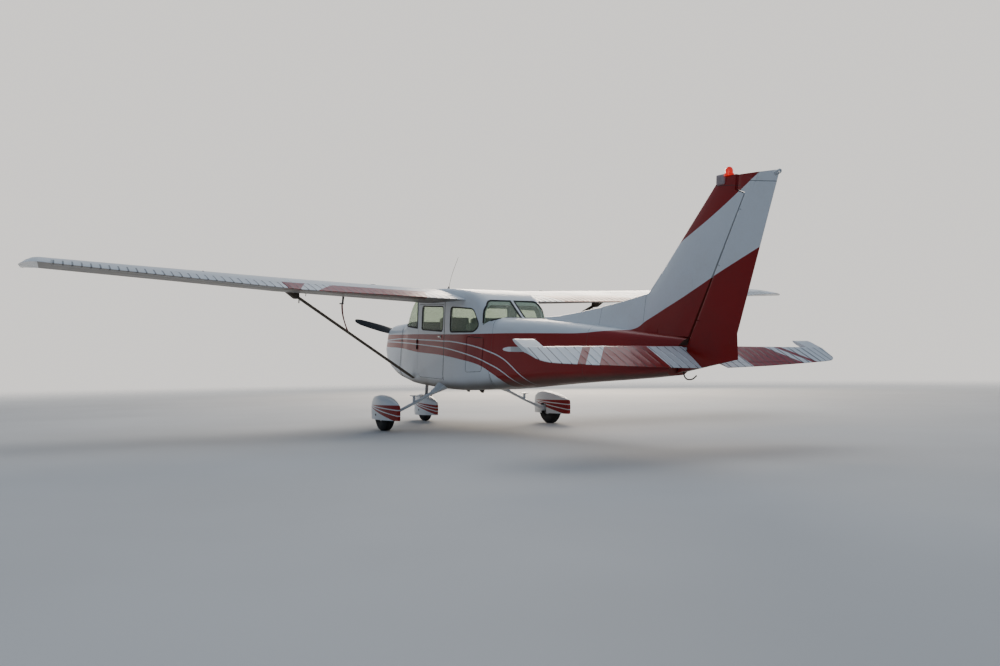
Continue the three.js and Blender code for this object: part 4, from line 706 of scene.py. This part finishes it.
def rim(name, skin, heart, thickness, finish, body, keep=lambda level: True):
    """A strip round the outer edges of a panel, pane or opening, as seen from its heart."""
    pick(skin)
    bpy.ops.object.duplicate(linked=False)
    strip = bpy.context.object
    for mark in list(strip.keys()):
        del strip[mark]
    strip.parent = None
    strip.name = strip.data.name = name
    mesh = strip.data
    by_edge = {}
    for face in mesh.polygons:
        for key in face.edge_keys:
            by_edge.setdefault(key, []).append(face)
    chosen = set()
    for key, faces in by_edge.items():
        if len(faces) != 2 or faces[0].normal.angle(faces[1].normal, 0) < SHARP_FOLD:
            continue
        outs = sorted(face.normal.dot((face.center - heart).normalized()) for face in faces)
        middle = (mesh.vertices[key[0]].co + mesh.vertices[key[1]].co) / 2
        if outs[0] < FACES_OUT < outs[1] and outs[1] - outs[0] > TURNS_IN and keep(drawing(middle)):
            chosen.add(key)
    bpy.ops.object.mode_set(mode="EDIT")
    bpy.ops.mesh.select_mode(type="EDGE")
    bpy.ops.mesh.select_all(action="DESELECT")
    bpy.ops.object.mode_set(mode="OBJECT")
    for edge in mesh.edges:
        edge.select = tuple(sorted(edge.vertices)) in chosen
    bpy.ops.object.mode_set(mode="EDIT")
    bpy.ops.mesh.select_all(action="INVERT")
    bpy.ops.mesh.delete(type="EDGE")
    bpy.ops.object.mode_set(mode="OBJECT")
    bpy.ops.object.convert(target="CURVE")
    strip = bpy.context.object
    strip.data.bevel_depth = thickness / 2
    strip.data.bevel_resolution = 2
    bpy.ops.object.convert(target="MESH")
    return fitted(bpy.context.object, finish, body, 70)


for pane in ("windshield", "side_window_left", "side_window_right", "rear_window_left", "rear_window_right"):
    pane_skin = dressed(f"{pane}_pane", pane, "glazing", glass)
    centre = sum((Vector(c) for c in pane_skin.bound_box), Vector()) / 8
    heart = Vector((centre.x, 0, CABIN_MIDDLE)) if "side" in pane else CABIN_HEART
    rim(f"{pane}_rubber", pane_skin, heart, WINDOW_RUBBER_AND_SHADE, rubber, "airframe")


# The cabin doors: riveted sheet on pressed frames, hung on the front post, each with its own window.
# A thin dark seal shows all round, and a bright pull handle sits in the rear edge.
DOOR_HEART = station(-1.2, 0, CABIN_MIDDLE)
DOOR_SEAL = 0.012
HANDLE_DISC = [(0.0, 0.007), (0.016, 0.007), (0.021, 0.003), (0.021, -0.004), (0.0, -0.004)]
HINGE_PIN = [(0.0, 0.032), (0.008, 0.032), (0.0105, 0.029), (0.0105, 0.010), (0.007, 0.009), (0.007, 0.007),
             (0.0105, 0.006), (0.0105, -0.029), (0.008, -0.032), (0.0, -0.032)]
UP = (sin(-PITCH), 0, cos(PITCH))

handle_metal = pitted("handle_metal", (0.62, 0.61, 0.58), 0.28, Metallic=1.0)


def rounded(piece, radius, steps):
    """Rounds every edge of a block."""
    pick(piece)
    bpy.ops.object.mode_set(mode="EDIT")
    bpy.ops.mesh.select_all(action="SELECT")
    bpy.ops.mesh.bevel(offset=radius, segments=steps, affect="EDGES")
    bpy.ops.object.mode_set(mode="OBJECT")
    return piece


def at_the_frame(level):
    """True at the door's outer edges, false at those of its window's opening."""
    return not (1.29 < level.z < 1.675 and -1.62 < level.x < -0.83)


for side, hand in SIDES:
    body = f"door_{hand}"
    door = dressed(f"door_skin_{hand}", body, "white_paint", hull_paint, lining)
    line_inside(door)
    rim(f"door_seal_{hand}", door, DOOR_HEART, DOOR_SEAL, rubber, body, at_the_frame)
    pane_skin = dressed(f"door_pane_{hand}", f"door_window_{hand}", "glazing", glass)
    rim(f"door_pane_rubber_{hand}", pane_skin, DOOR_HEART, WINDOW_RUBBER_AND_SHADE, rubber, body)
    disc = turned("handle_disc", HANDLE_DISC, station(-1.532, side * 0.5095, 1.238), (0, side, 0), 24)
    lever = block("handle_lever", station(-1.505, side * 0.521, 1.238), (0.078, 0.009, 0.017), -PITCH)
    rounded(lever, 0.003, 3)
    fitted(joined(f"door_handle_{hand}", [disc, lever]), handle_metal, body)
    pins = [turned("hinge_pin", HINGE_PIN, station(-0.700, side * y, z), UP, 16)
            for y, z in ((0.5105, 1.152), (0.5135, 1.075))]
    fitted(joined(f"door_hinges_{hand}", pins), rubber, "airframe")


# The baggage door: the same riveted sheet, behind the left door, hinged at its front edge.
# Its rubber seal is thin and hardly shows.
baggage_skin = dressed("baggage_door_skin", "baggage_door", "red_paint", hull_paint, lining)
line_inside(baggage_skin)
rim("baggage_door_seal", baggage_skin, station(-2.5, 0, 1.1), 0.004, rubber, "baggage_door")


# The aerials: a raked whip on a rubber foot above the left seat, and two low blades under the belly.
# They are moulded in black plastic and screwed to the skin.
WHIP_FOOT = [(0.0, -0.006), (0.021, -0.006), (0.021, 0.006), (0.013, 0.014), (0.007, 0.030), (0.0045, 0.040),
             (0.0, 0.040)]
BLADE_Y, BLADE_DROP = 0.12, 0.030


def perch(skin, x, y, upward=True):
    """Where a fitting sits on a skin, above or below a place in plan."""
    start = station(x, y, 3.2 if upward else -0.5)
    way = Vector((0, 0, -1 if upward else 1))
    return skin.ray_cast(start, way)[1:3]


whip_spot = perch(cabin_skin, -1.344, 0.35)[0]
foot = turned("whip_foot", WHIP_FOOT, whip_spot, (-0.35, 0, 1), 24)
whip = rail("whip", [whip_spot + Vector((-0.008, 0, 0.02)), station(-1.50, 0.350, 2.052),
                     station(-1.712, 0.350, 2.305)], 0.0045, rubber, "airframe")
fitted(joined("whip_aerial", [foot, whip]), rubber, "airframe")


def open_at(piece, wanted):
    """Opens a block for shaping, with only the wanted faces in hand."""
    bpy.ops.object.mode_set(mode="EDIT")
    bpy.ops.mesh.select_mode(type="FACE")
    bpy.ops.mesh.select_all(action="DESELECT")
    bpy.ops.object.mode_set(mode="OBJECT")
    for face in piece.data.polygons:
        face.select = wanted(face.normal)
    bpy.ops.object.mode_set(mode="EDIT")


for name, x, length in (("belly_blade_front", -1.66, 0.115), ("belly_blade_back", -2.08, 0.125)):
    blade = block(name, perch(cabin_skin, x, BLADE_Y, upward=False)[0], (length, 0.020, 0.016))
    open_at(blade, lambda normal: normal.z < -0.9)
    bpy.ops.mesh.extrude_region_move(TRANSFORM_OT_translate={"value": (-length * 0.18, 0, -BLADE_DROP)})
    bpy.ops.transform.resize(value=(0.45, 0.45, 1))
    bpy.ops.object.mode_set(mode="OBJECT")
    fitted(rounded(blade, 0.004, 2), rubber, "airframe")


# The engine: a flat four of cast alloy, bolted to the firewall.
# It is dark with heat and oil, and is seen only through the inlets.
engine_cast = pitted("engine_cast", (0.09, 0.088, 0.085), 0.55, 90, 0.0012, Metallic=0.6)
dressed("engine_skin", "engine", "engine", engine_cast)


# The cowling: two pressed halves, screwed together along the sides, in the hull's white and red.
# A rubber seal lies between its rear edge and the firewall.
cowl_upper = dressed("cowl_upper_skin", "cowl_upper", "white_paint", hull_paint)
cowl_lower = dressed("cowl_lower_skin", "cowl_lower", "white_paint", hull_paint)
for half in (cowl_upper, cowl_lower):
    rim(half.name.replace("skin", "seal"), half, station(0.55, 0, 1.12), 0.013, rubber, "airframe",
        lambda level: level.x < 0.06)


# The propeller: two forged alloy blades, painted matt black and worn a little lighter in patches,
# behind a white spun spinner.
blade_black = Finish("blade_black", (0.016, 0.016, 0.017), 0.45)
wear = blade_black.noise(40, 5).fade(0.62, 0.78)
blade_black.colour(wear.blend((0.014, 0.014, 0.015, 1), (0.05, 0.05, 0.052, 1)))
blade_black.rough(wear * 0.2 + 0.38)
dressed("blades", "propeller", "black_blades", blade_black, crease=50)


def plain_coat(name, shade=1.0):
    """White enamel without stripes or rivets, for small fittings, dusty all over."""
    finish = enamel(name)
    dust = (finish.noise(6, 5) * 0.6 + finish.noise(55, 3) * 0.4).fade(0.40, 0.74)
    clean = [part * shade for part in WHITE[:3]]
    finish.colour(dust.blend((*clean, 1), (*[part * 0.80 for part in clean], 1)))
    finish.rough(dust * 0.25 + 0.27)
    finish.relief(finish.noise(70, 3), 0.0004, 0.5)
    return finish


trim_white = plain_coat("trim_white")
dressed("spinner_skin", "spinner", "white_paint", trim_white, crease=50)


# The exhaust: one steel stack that hangs out under the cowling, clamped to the engine.
# The bare metal is browned by heat.
scorched = pitted("scorched_steel", (0.17, 0.135, 0.11), 0.55, 160, 0.0006, Metallic=0.9)
dressed("exhaust_stack", "exhaust", "exhaust_steel", scorched, crease=50)


# The tail cone: riveted rings of sheet narrowing to the tail, red below the band's top edge.
# A gusset closes the corner under the fin, and an open tie-down hook of painted steel hangs under its end.
dressed("tail_cone_skin", "tail_cone", "red_paint", hull_paint)
gusset = block("fin_gusset", station(-5.920, 0, 1.318), (0.130, 0.010, 0.058))
for point in gusset.data.vertices:
    point.co.x -= (drawing(gusset.location + point.co).z - 1.318) * 0.58
fitted(rounded(gusset, 0.002, 2), hull_paint, "airframe")
steel = pitted("dull_steel", (0.30, 0.30, 0.31), 0.42, Metallic=1.0)
hook = [station(x, 0, z) for x, z in ((-5.895, 1.010), (-5.905, 0.972), (-5.930, 0.946), (-5.984, 0.940),
                                      (-6.025, 0.950), (-6.071, 0.980))]
rail("tie_down_hook", hook, 0.013, rubber, "airframe")


# The fin and rudder: the same sheet, white between two slanting red fields. A rubber strip lies
# under the rudder horn, along the top of the fin.
dressed("fin_skin", "fin", "white_paint", hull_paint)
dressed("rudder_skin", "rudder", "white_paint", hull_paint)
rail("horn_seal", [station(-6.634, 0, 2.547), station(-6.590, 0, 2.567), station(-6.542, 0, 2.589)], 0.008,
     rubber, "airframe")


# The tailplane: riveted sheet with a slanting red field, a thin red stripe and a white tip.
# Its elevators and trim tab are stiffened by pressed beads that run fore and aft.
TAIL_BEAD_PITCH = 0.088
BEAD_SHADOW_HALF = 0.006
BEAD_HALF, BEAD_RISE = 0.011, 0.0045
ON_RIDGE = 0.0004
CLEARANCE = 0.03

tail_paint = enamel("tail_paint")
tx, ty = on_drawing(tail_paint)[:2]
span = ty.size()
outer = span + (tx + 6.02) * 0.84
red_field = (outer < 0.990) & ~((span < 0.475) & (tx < -5.915))
thin_stripe = (outer > 1.128) & (outer < 1.210)
tail_rows = rivet_rows(span, tx + 5.62, 0.03, 0.33) & (tx > -5.9)
# A thin dark line beside each elevator bead: painted bead shadow.
tail_bead_shadows = ((span - 0.193).wave(TAIL_BEAD_PITCH) < BEAD_SHADOW_HALF) & (tx < -5.955)
enamel_coat(tail_paint, red_field | thin_stripe, heads=tail_rows, folds=tail_bead_shadows)


def press_beads(skin, ridges, root, tip, share=(0.10, 0.97), spared=None):
    """Presses stiffening beads into a sheet surface: root and tip hold (y, nose x, tail x), share says
    where a bead starts and ends, and a spared piece keeps the sheet round it flat."""
    def chord_spot(y, part):
        along = (y - root[0]) / (tip[0] - root[0])
        nose = root[1] + (tip[1] - root[1]) * along
        tail = root[2] + (tip[2] - root[2]) * along
        return nose + (tail - nose) * part

    pick(skin)
    bpy.ops.object.mode_set(mode="EDIT")
    start, end = share
    for part in (start, start + 0.06, 0.35, 0.6, 0.85, end - 0.05, end):
        first = station(chord_spot(root[0], part), root[0], 1)
        last = station(chord_spot(tip[0], part), tip[0], 1)
        bpy.ops.mesh.select_all(action="SELECT")
        bpy.ops.mesh.bisect(plane_co=first, plane_no=(last - first).cross(Vector((0, 0, 1))).normalized())
    for y in ridges:
        for offset in (-BEAD_HALF, 0, BEAD_HALF):
            bpy.ops.mesh.select_all(action="SELECT")
            bpy.ops.mesh.bisect(plane_co=(0, y + offset, 0), plane_no=(0, 1, 0))
    bpy.ops.object.mode_set(mode="OBJECT")
    for point in skin.data.vertices:
        y = point.co.y
        level = drawing(point.co)
        if min(abs(y - ridge) for ridge in ridges) > ON_RIDGE:
            continue
        nose, tail = chord_spot(y, 0), chord_spot(y, 1)
        part = (level.x - nose) / (tail - nose)
        if spared and all(low - CLEARANCE < at < high + CLEARANCE for at, low, high in
                          zip(point.co.xy, *(corner.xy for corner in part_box(spared)))):
            continue
        if start + 0.03 < part < end - 0.02:
            point.co += point.normal * BEAD_RISE
    shaded(skin, 40)


elevator_skin = dressed("elevator_skin", "elevator", "white_paint", tail_paint)
for side in (1, -1):
    beads = [side * (0.20 + TAIL_BEAD_PITCH * i) for i in range(15)]
    press_beads(elevator_skin, beads, (0.12 * side, -5.945, -6.312), (1.53 * side, -5.945, -6.206),
                spared="trim_tab")
dressed("trim_tab_skin", "trim_tab", "white_paint", tail_paint)
dressed("stabilizer_skin", "stabilizer", "white_paint", tail_paint)


# The beacon: a lit red dome at the top of the fin, with its small rounded power box in front, and
# a clear tail lamp on the rudder. Both lenses are moulded plastic on a cast foot.
TAIL_LAMP = [(0.0, 0.040), (0.010, 0.038), (0.017, 0.030), (0.020, 0.018), (0.021, 0.0), (0.021, -0.020),
             (0.0, -0.020)]

red_lens = Finish("red_lens", (0.45, 0.012, 0.008), 0.12, Transmission_Weight=0.25, Coat_Weight=0.6)
red_lens.clouded(60, (0.40, 0.010, 0.006), (0.55, 0.02, 0.012))
lit_lens = Finish("lit_lens", (0.75, 0.03, 0.015), 0.12, Coat_Weight=0.3, Emission_Strength=0.55)
lit_lens.clouded(60, (0.62, 0.02, 0.01), (0.85, 0.05, 0.02))
glow = lit_lens.noise(30).fade(0.2, 0.8).blend((0.8, 0.004, 0.002, 1), (1.0, 0.035, 0.010, 1))
lit_lens.join(glow, lit_lens.shader.inputs["Emission Color"])
for moulded in (red_lens, lit_lens):
    moulded.relief(moulded.noise(130, 2), 0.0006, 0.5)
dressed("beacon_dome", "beacon", "red_lens", lit_lens, crease=50)
flasher = block("beacon_flasher", station(-6.362, 0, 2.700), (0.105, 0.066, 0.090), -PITCH)
flasher_grey = pitted("flasher_grey", (0.42, 0.33, 0.33), 0.5)
fitted(rounded(flasher, 0.012, 3), flasher_grey, "airframe")
clear_lens = Finish("clear_lens", (0.75, 0.77, 0.78), 0.08, Transmission_Weight=0.5, Coat_Weight=0.5)
clear_lens.rough(clear_lens.noise(90) * 0.1 + 0.05)
tail_lamp = turned("tail_lamp", TAIL_LAMP, station(-6.990, 0, 2.672), (-1, 0, 0.25), 24)
fitted(tail_lamp, clear_lens, "rudder", 50)


# The wings: stressed sheet over ribs, riveted flush, white all over, with moulded tips bolted on.
# Each has a metal fuel cap, a vent cap, and a lamp in its tip: red on the left, green on the right.
FUEL_CAP = [(0.0, 0.006), (0.012, 0.006), (0.013, 0.009), (0.030, 0.009), (0.036, 0.006), (0.038, 0.001),
            (0.046, 0.0005), (0.047, -0.004), (0.0, -0.004)]
VENT_CAP = [(0.0, 0.007), (0.008, 0.006), (0.013, 0.003), (0.014, -0.003), (0.0, -0.003)]
TIP_LAMP = [(0.0, 0.026), (0.010, 0.024), (0.018, 0.015), (0.020, 0.0), (0.0, -0.012)]
LAMP_INBOARD = 0.030

wing_paint = enamel("wing_paint")
wx, wy = on_drawing(wing_paint)[:2]
wing_span = wy.size()
spanwise = rivet_rows(wing_span, wx + 0.66, 0.035, 0.32)
ribwise = rivet_rows(wx, wing_span + 0.12, 0.035, 0.38)
skin_joints = wing_span.near(2.60, 0.002) | wing_span.near(0.62, 0.002) | wx.near(-0.92, 0.0018)
enamel_coat(wing_paint, grooves=skin_joints, heads=spanwise | ribwise)
cap_metal = pitted("cap_metal", (0.45, 0.45, 0.45), 0.35, Metallic=1.0)
green_lens = Finish("green_lens", (0.01, 0.22, 0.08), 0.12, Transmission_Weight=0.25, Coat_Weight=0.6)
green_lens.clouded(60, (0.006, 0.16, 0.05), (0.015, 0.28, 0.10))
for side, hand in SIDES:
    wing_skin = dressed(f"wing_skin_{hand}", f"wing_{hand}", "white_paint", wing_paint)
    tip_skin = dressed(f"wing_tip_skin_{hand}", f"wing_tip_{hand}", "white_paint", trim_white)
    filler = turned("fuel_cap", FUEL_CAP, *perch(wing_skin, -1.02, side * 1.32), 32)
    fitted(filler, cap_metal, "airframe", 30)
    vent = turned("vent_cap", VENT_CAP, *perch(wing_skin, -1.30, side * 3.55), 20)
    fitted(vent, rubber, "airframe", 50)
    low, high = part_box(f"wing_tip_{hand}")
    edge_y = (high.y - LAMP_INBOARD) if side > 0 else (low.y + LAMP_INBOARD)
    ahead_of_tip = Vector((high.x + 1, edge_y, (low.z + high.z) / 2))
    hit, lamp_spot, outward, _ = tip_skin.ray_cast(ahead_of_tip, Vector((-1, 0, 0)))
    if hit:
        outward = (outward + Vector((0, side * 0.6, 0))).normalized()
        tip_lamp = turned(f"tip_lamp_{hand}", TIP_LAMP, lamp_spot, outward, 24)
        fitted(tip_lamp, red_lens if side > 0 else green_lens, "airframe", 60)


# The flaps and ailerons: thin sheet stiffened by pressed beads, hinged behind the rear spar.
# The ailerons are white, and the flaps have a slanting red field and a red stripe.
BEAD_PITCH = 0.09
WIDE_BEAD_SHADOW_HALF = 0.009

flap_paint = enamel("flap_paint")
fx, fy = on_drawing(flap_paint)[:2]
flap_span = fy.size()
flap_aft = (fx + 2.235) * -1
flap_field = (flap_span > flap_aft * 0.32 + 1.01) & (flap_span < flap_aft * 0.68 + 2.384)
flap_stripe = flap_span > flap_aft * 0.37 + 2.596
# A thin dark line beside each flap bead: painted bead shadow.
enamel_coat(flap_paint, flap_field | flap_stripe, folds=(flap_span - 0.613).wave(BEAD_PITCH) < WIDE_BEAD_SHADOW_HALF)
aileron_paint = enamel("aileron_paint")
aileron_span = aileron_paint.axes()[1].size()
# A thin dark line beside each aileron bead: painted bead shadow.
enamel_coat(aileron_paint, folds=(aileron_span - 2.793).wave(BEAD_PITCH) < WIDE_BEAD_SHADOW_HALF)
for side, hand in SIDES:
    flap = dressed(f"flap_skin_{hand}", f"flap_{hand}", "white_paint", flap_paint)
    press_beads(flap, [side * (0.62 + BEAD_PITCH * i) for i in range(24)],
                (0.566 * side, -1.83, -2.236), (2.725 * side, -1.83, -2.225), (0.30, 0.97))
    aileron = dressed(f"aileron_skin_{hand}", f"aileron_{hand}", "white_paint", aileron_paint)
    press_beads(aileron, [side * (2.80 + BEAD_PITCH * i) for i in range(26)],
                (2.739 * side, -1.90, -2.22), (5.150 * side, -1.66, -1.90), (0.22, 0.97))


# The wing struts: streamlined alloy tubes, bolted to the hull and the wing, coloured dark brown as painted
# shade.
# Each has a spreading cuff under the wing, with a mooring ring and the tank's vent tube beside it.
RING_RADIUS = 0.020

# Dark brown over the struts and their cuffs: painted shade.
strut_shade_brown = pitted("strut_shade_brown", (0.12, 0.10, 0.08), 0.85, 60, 0.0003, Specular_IOR_Level=0.1)
for side, hand in SIDES:
    dressed(f"strut_skin_{hand}", f"strut_{hand}", "white_paint", strut_shade_brown)
    cuff = block(f"strut_cuff_{hand}", station(-1.010, side * 2.335, 1.770), (0.118, 0.060, 0.12))
    open_at(cuff, lambda normal: normal.z > 0.9)
    bpy.ops.transform.resize(value=(1.15, 3.6, 1))
    bpy.ops.transform.translate(value=(-0.02, side * 0.095, 0.01))
    bpy.ops.object.mode_set(mode="OBJECT")
    fitted(rounded(cuff, 0.010, 3), strut_shade_brown, "airframe", 50)
    ring = [station(-1.00 - RING_RADIUS * cos(turn * pi / 6), side * 2.30,
                    1.675 + RING_RADIUS * sin(turn * pi / 6)) for turn in range(-5, 12)]
    rail(f"mooring_ring_{hand}", ring, 0.008, rubber, "airframe")
    rail(f"tank_vent_{hand}", [station(-1.10, side * 2.235, 1.86), station(-1.10, side * 2.235, 1.79),
                               station(-1.085, side * 2.235, 1.745)], 0.009, rubber, "airframe")


# The pitot tube: a bent steel tube under the left wing, painted dark.
# A red ribbon hangs from it: a strip of woven webbing, tied on at its top and free at its foot.
RIBBON_THREAD, RIBBON_GAIN = 0.0016, 1500000
RIBBON_WIDTH, RIBBON_DROP = 0.038, 0.352
RIBBON_LINE = [(0, 0, 0), (-0.004, -0.002, -0.060), (-0.024, -0.008, -0.150), (-0.068, -0.022, -0.250),
               (-0.128, -0.044, -RIBBON_DROP)]
RIBBON_THICK = 0.0014

mast_paint = pitted("mast_paint", (0.07, 0.06, 0.055), 0.5)
dressed("pitot_tube", "pitot_mast", "gear_steel", mast_paint, crease=50)
ribbon = Finish("red_ribbon", (0.30, 0.02, 0.02), 0.85, Sheen_Weight=0.3)
rx, _, rz = ribbon.axes()
weave = rx.wave(RIBBON_THREAD) * rz.wave(RIBBON_THREAD) * RIBBON_GAIN
ribbon.colour((ribbon.noise(40) * 0.6 + weave * 0.4).fade(0.2, 0.8)
              .blend((0.20, 0.012, 0.012, 1), (0.36, 0.03, 0.03, 1)))
ribbon.relief(weave, 0.0004, 0.5)
knot_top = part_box("pitot_streamer")[1].z
knot_points = [point.co for point in frame["nodes"]["pitot_streamer"].data.vertices
               if point.co.z > knot_top - 0.01]
hang = Vector((max(spot.x for spot in knot_points) - 0.019, min(spot.y for spot in knot_points) + 0.002,
               knot_top - 0.0005))
ground = station(0, 0, 0)
fall_line = bent_line("streamer", [hang + station(*drop) - ground for drop in RIBBON_LINE])
fall_line.data.splines[0].resolution_u = 14
bpy.ops.object.convert(target="MESH")
streamer = bpy.context.object
streamer.name = streamer.data.name = "streamer"
half_across = ((station(1, 0, 0) - ground) * 0.95 + Vector((0, 0.312, 0))) * (RIBBON_WIDTH / 2)
streamer.data.transform(Matrix.Translation(-half_across))
bpy.ops.object.mode_set(mode="EDIT")
bpy.ops.mesh.select_mode(type="VERT")
bpy.ops.mesh.select_all(action="SELECT")
for strip in range(6):
    bpy.ops.mesh.extrude_region_move(TRANSFORM_OT_translate={"value": half_across / 3})
bpy.ops.mesh.select_all(action="SELECT")
bpy.ops.mesh.remove_doubles(threshold=0.00005)
bpy.ops.mesh.normals_make_consistent(inside=False)
bpy.ops.object.mode_set(mode="OBJECT")
for point in streamer.data.vertices:
    fall = (hang.z - point.co.z) / RIBBON_DROP
    across = (point.co - hang).dot(half_across.normalized())
    point.co.y += 0.006 * fall * sin(9.0 * fall + 55 * across)
thickness = streamer.modifiers.new("thickness", "SOLIDIFY")
thickness.thickness = RIBBON_THICK
thickness.offset = 0
bpy.ops.object.modifier_apply(modifier="thickness")
fitted(streamer, ribbon, "airframe", 80)
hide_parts("pitot_streamer")


# The main legs: tapered flat springs of steel, bolted under the cabin, faired and painted white, with a
# step on each. The wheels are split hubs of cast alloy with ribbed rubber tyres.
MAIN_TYRE = (0.222, 0.160, 0.096)
WHEEL_OUT = 1.27

leg_paint = plain_coat("leg_paint", 0.95)
hub_alloy = pitted("hub_alloy", (0.42, 0.42, 0.43), 0.38, Metallic=1.0)
tyre_rubber = pitted("tyre_rubber", (0.022, 0.021, 0.020), 0.85, 220, 0.0008)


def tyre(name, node, body, sizes, centre):
    """A ribbed tyre: four plain grooves round the tread, rounded shoulders and a bead at the rim. Its sizes
    are its radius, its width and the rim's radius."""
    radius, width, rim_radius = sizes
    half, wall = width / 2, radius - rim_radius
    side = [(rim_radius + 0.001, half * 0.70), (rim_radius + wall * 0.06, half * 0.80),
            (rim_radius + wall * 0.22, half * 0.93), (rim_radius + wall * 0.45, half * 0.985),
            (rim_radius + wall * 0.66, half * 0.95), (rim_radius + wall * 0.84, half * 0.82),
            (radius - wall * 0.055, half * 0.66)]
    tread = []
    for spot in (0.52, 0.24):
        crown = radius - 0.10 * (spot * half) ** 2 / radius - 0.0002
        tread += [(crown, half * spot + 0.0035), (crown - 0.005, half * spot + 0.0022),
                  (crown - 0.005, half * spot - 0.0022), (crown, half * spot - 0.0035)]
    outline = side + tread
    outline += [(out, -along) for out, along in reversed(outline)]
    piece = turned(name, outline + [outline[0]], centre, (0, 1, 0), 64)
    fitted(piece, tyre_rubber, body, 32)
    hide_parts(node)


for side, hand in SIDES:
    dressed(f"main_leg_skin_{hand}", f"main_leg_{hand}", "gear_leg", leg_paint)
    dressed(f"main_hub_skin_{hand}", f"main_hub_{hand}", "wheel_hub", hub_alloy)
    tyre(f"main_tyre_skin_{hand}", f"main_tyre_{hand}", f"main_wheel_{hand}", MAIN_TYRE,
         station(AXLE[0], side * WHEEL_OUT, AXLE[1]))


# The wheel fairings: moulded shells, screwed to the axles, white, with red stripes that open from the
# nose to the tail. A black disc over each tyre's valve hole is painted shade in the open hole.
WHITE_LINE_HALF = 0.0062


def fairing_paint(name, front, back, top, foot):
    """White with a red wedge that two white lines split in three: front and back are where the stripes
    start and end, top and foot hold the wedge's heights there."""
    finish = enamel(name)
    x, _, z = on_drawing(finish)
    part = (x - front) * (1 / (back - front))
    upper = part * (top[1] - top[0]) + top[0]
    lower = part * (foot[1] - foot[0]) + foot[0]
    wedge = (z < upper) & (z > lower) & (part > 0.14)
    share = (z - lower) / (upper - lower)
    depth = upper - lower
    split_low = (share - 0.36).size() * depth
    split_high = (share - 0.70).size() * depth
    enamel_coat(finish, wedge & (split_low > WHITE_LINE_HALF) & (split_high > WHITE_LINE_HALF))
    return finish


def valve_plug(name, radius, spot, side, body):
    """A domed black disc in the outer side of a fairing: painted shade in the open valve hole."""
    profile = [(0.0, 0.003), (radius - 0.003, 0.003), (radius, 0.0), (radius, -0.004), (0.0, -0.004)]
    fitted(turned(name, profile, spot, (0, side, 0), 20), rubber, body)


main_fairing_paint = fairing_paint("main_fairing_paint", -1.078, -1.99, (0.310, 0.375), (0.322, 0.163))
nose_fairing_paint = fairing_paint("nose_fairing_paint", 0.52, -0.29, (0.181, 0.184), (0.181, 0.041))
for side, hand in SIDES:
    dressed(f"wheel_fairing_skin_{hand}", f"wheel_fairing_{hand}", "white_paint", main_fairing_paint)
    valve_plug(f"valve_plug_{hand}", 0.016, station(-1.445, side * 1.384, 0.207), side, "airframe")
dressed("nose_fairing_skin", "nose_fairing", "white_paint", nose_fairing_paint)
valve_plug("valve_plug_nose", 0.014, station(0.178, 0.1065, 0.075), 1, "nose_gear")


# The nose gear: an oil-damped leg of bare dull steel with a forked foot, pinned to the firewall.
# It carries a smaller wheel, made as the main ones are.
NOSE_TYRE = (0.180, 0.126, 0.080)
NOSE_AXLE = station(0.173, 0, 0.0847)

dressed("nose_strut_skin", "nose_strut", "gear_steel", steel, crease=50)
dressed("nose_fork_skin", "nose_fork", "gear_steel", steel, crease=50)
tyre("nose_tyre_skin", "nose_tyre", "nose_wheel", NOSE_TYRE, NOSE_AXLE)
dressed("nose_hub_skin", "nose_hub", "wheel_hub", hub_alloy)
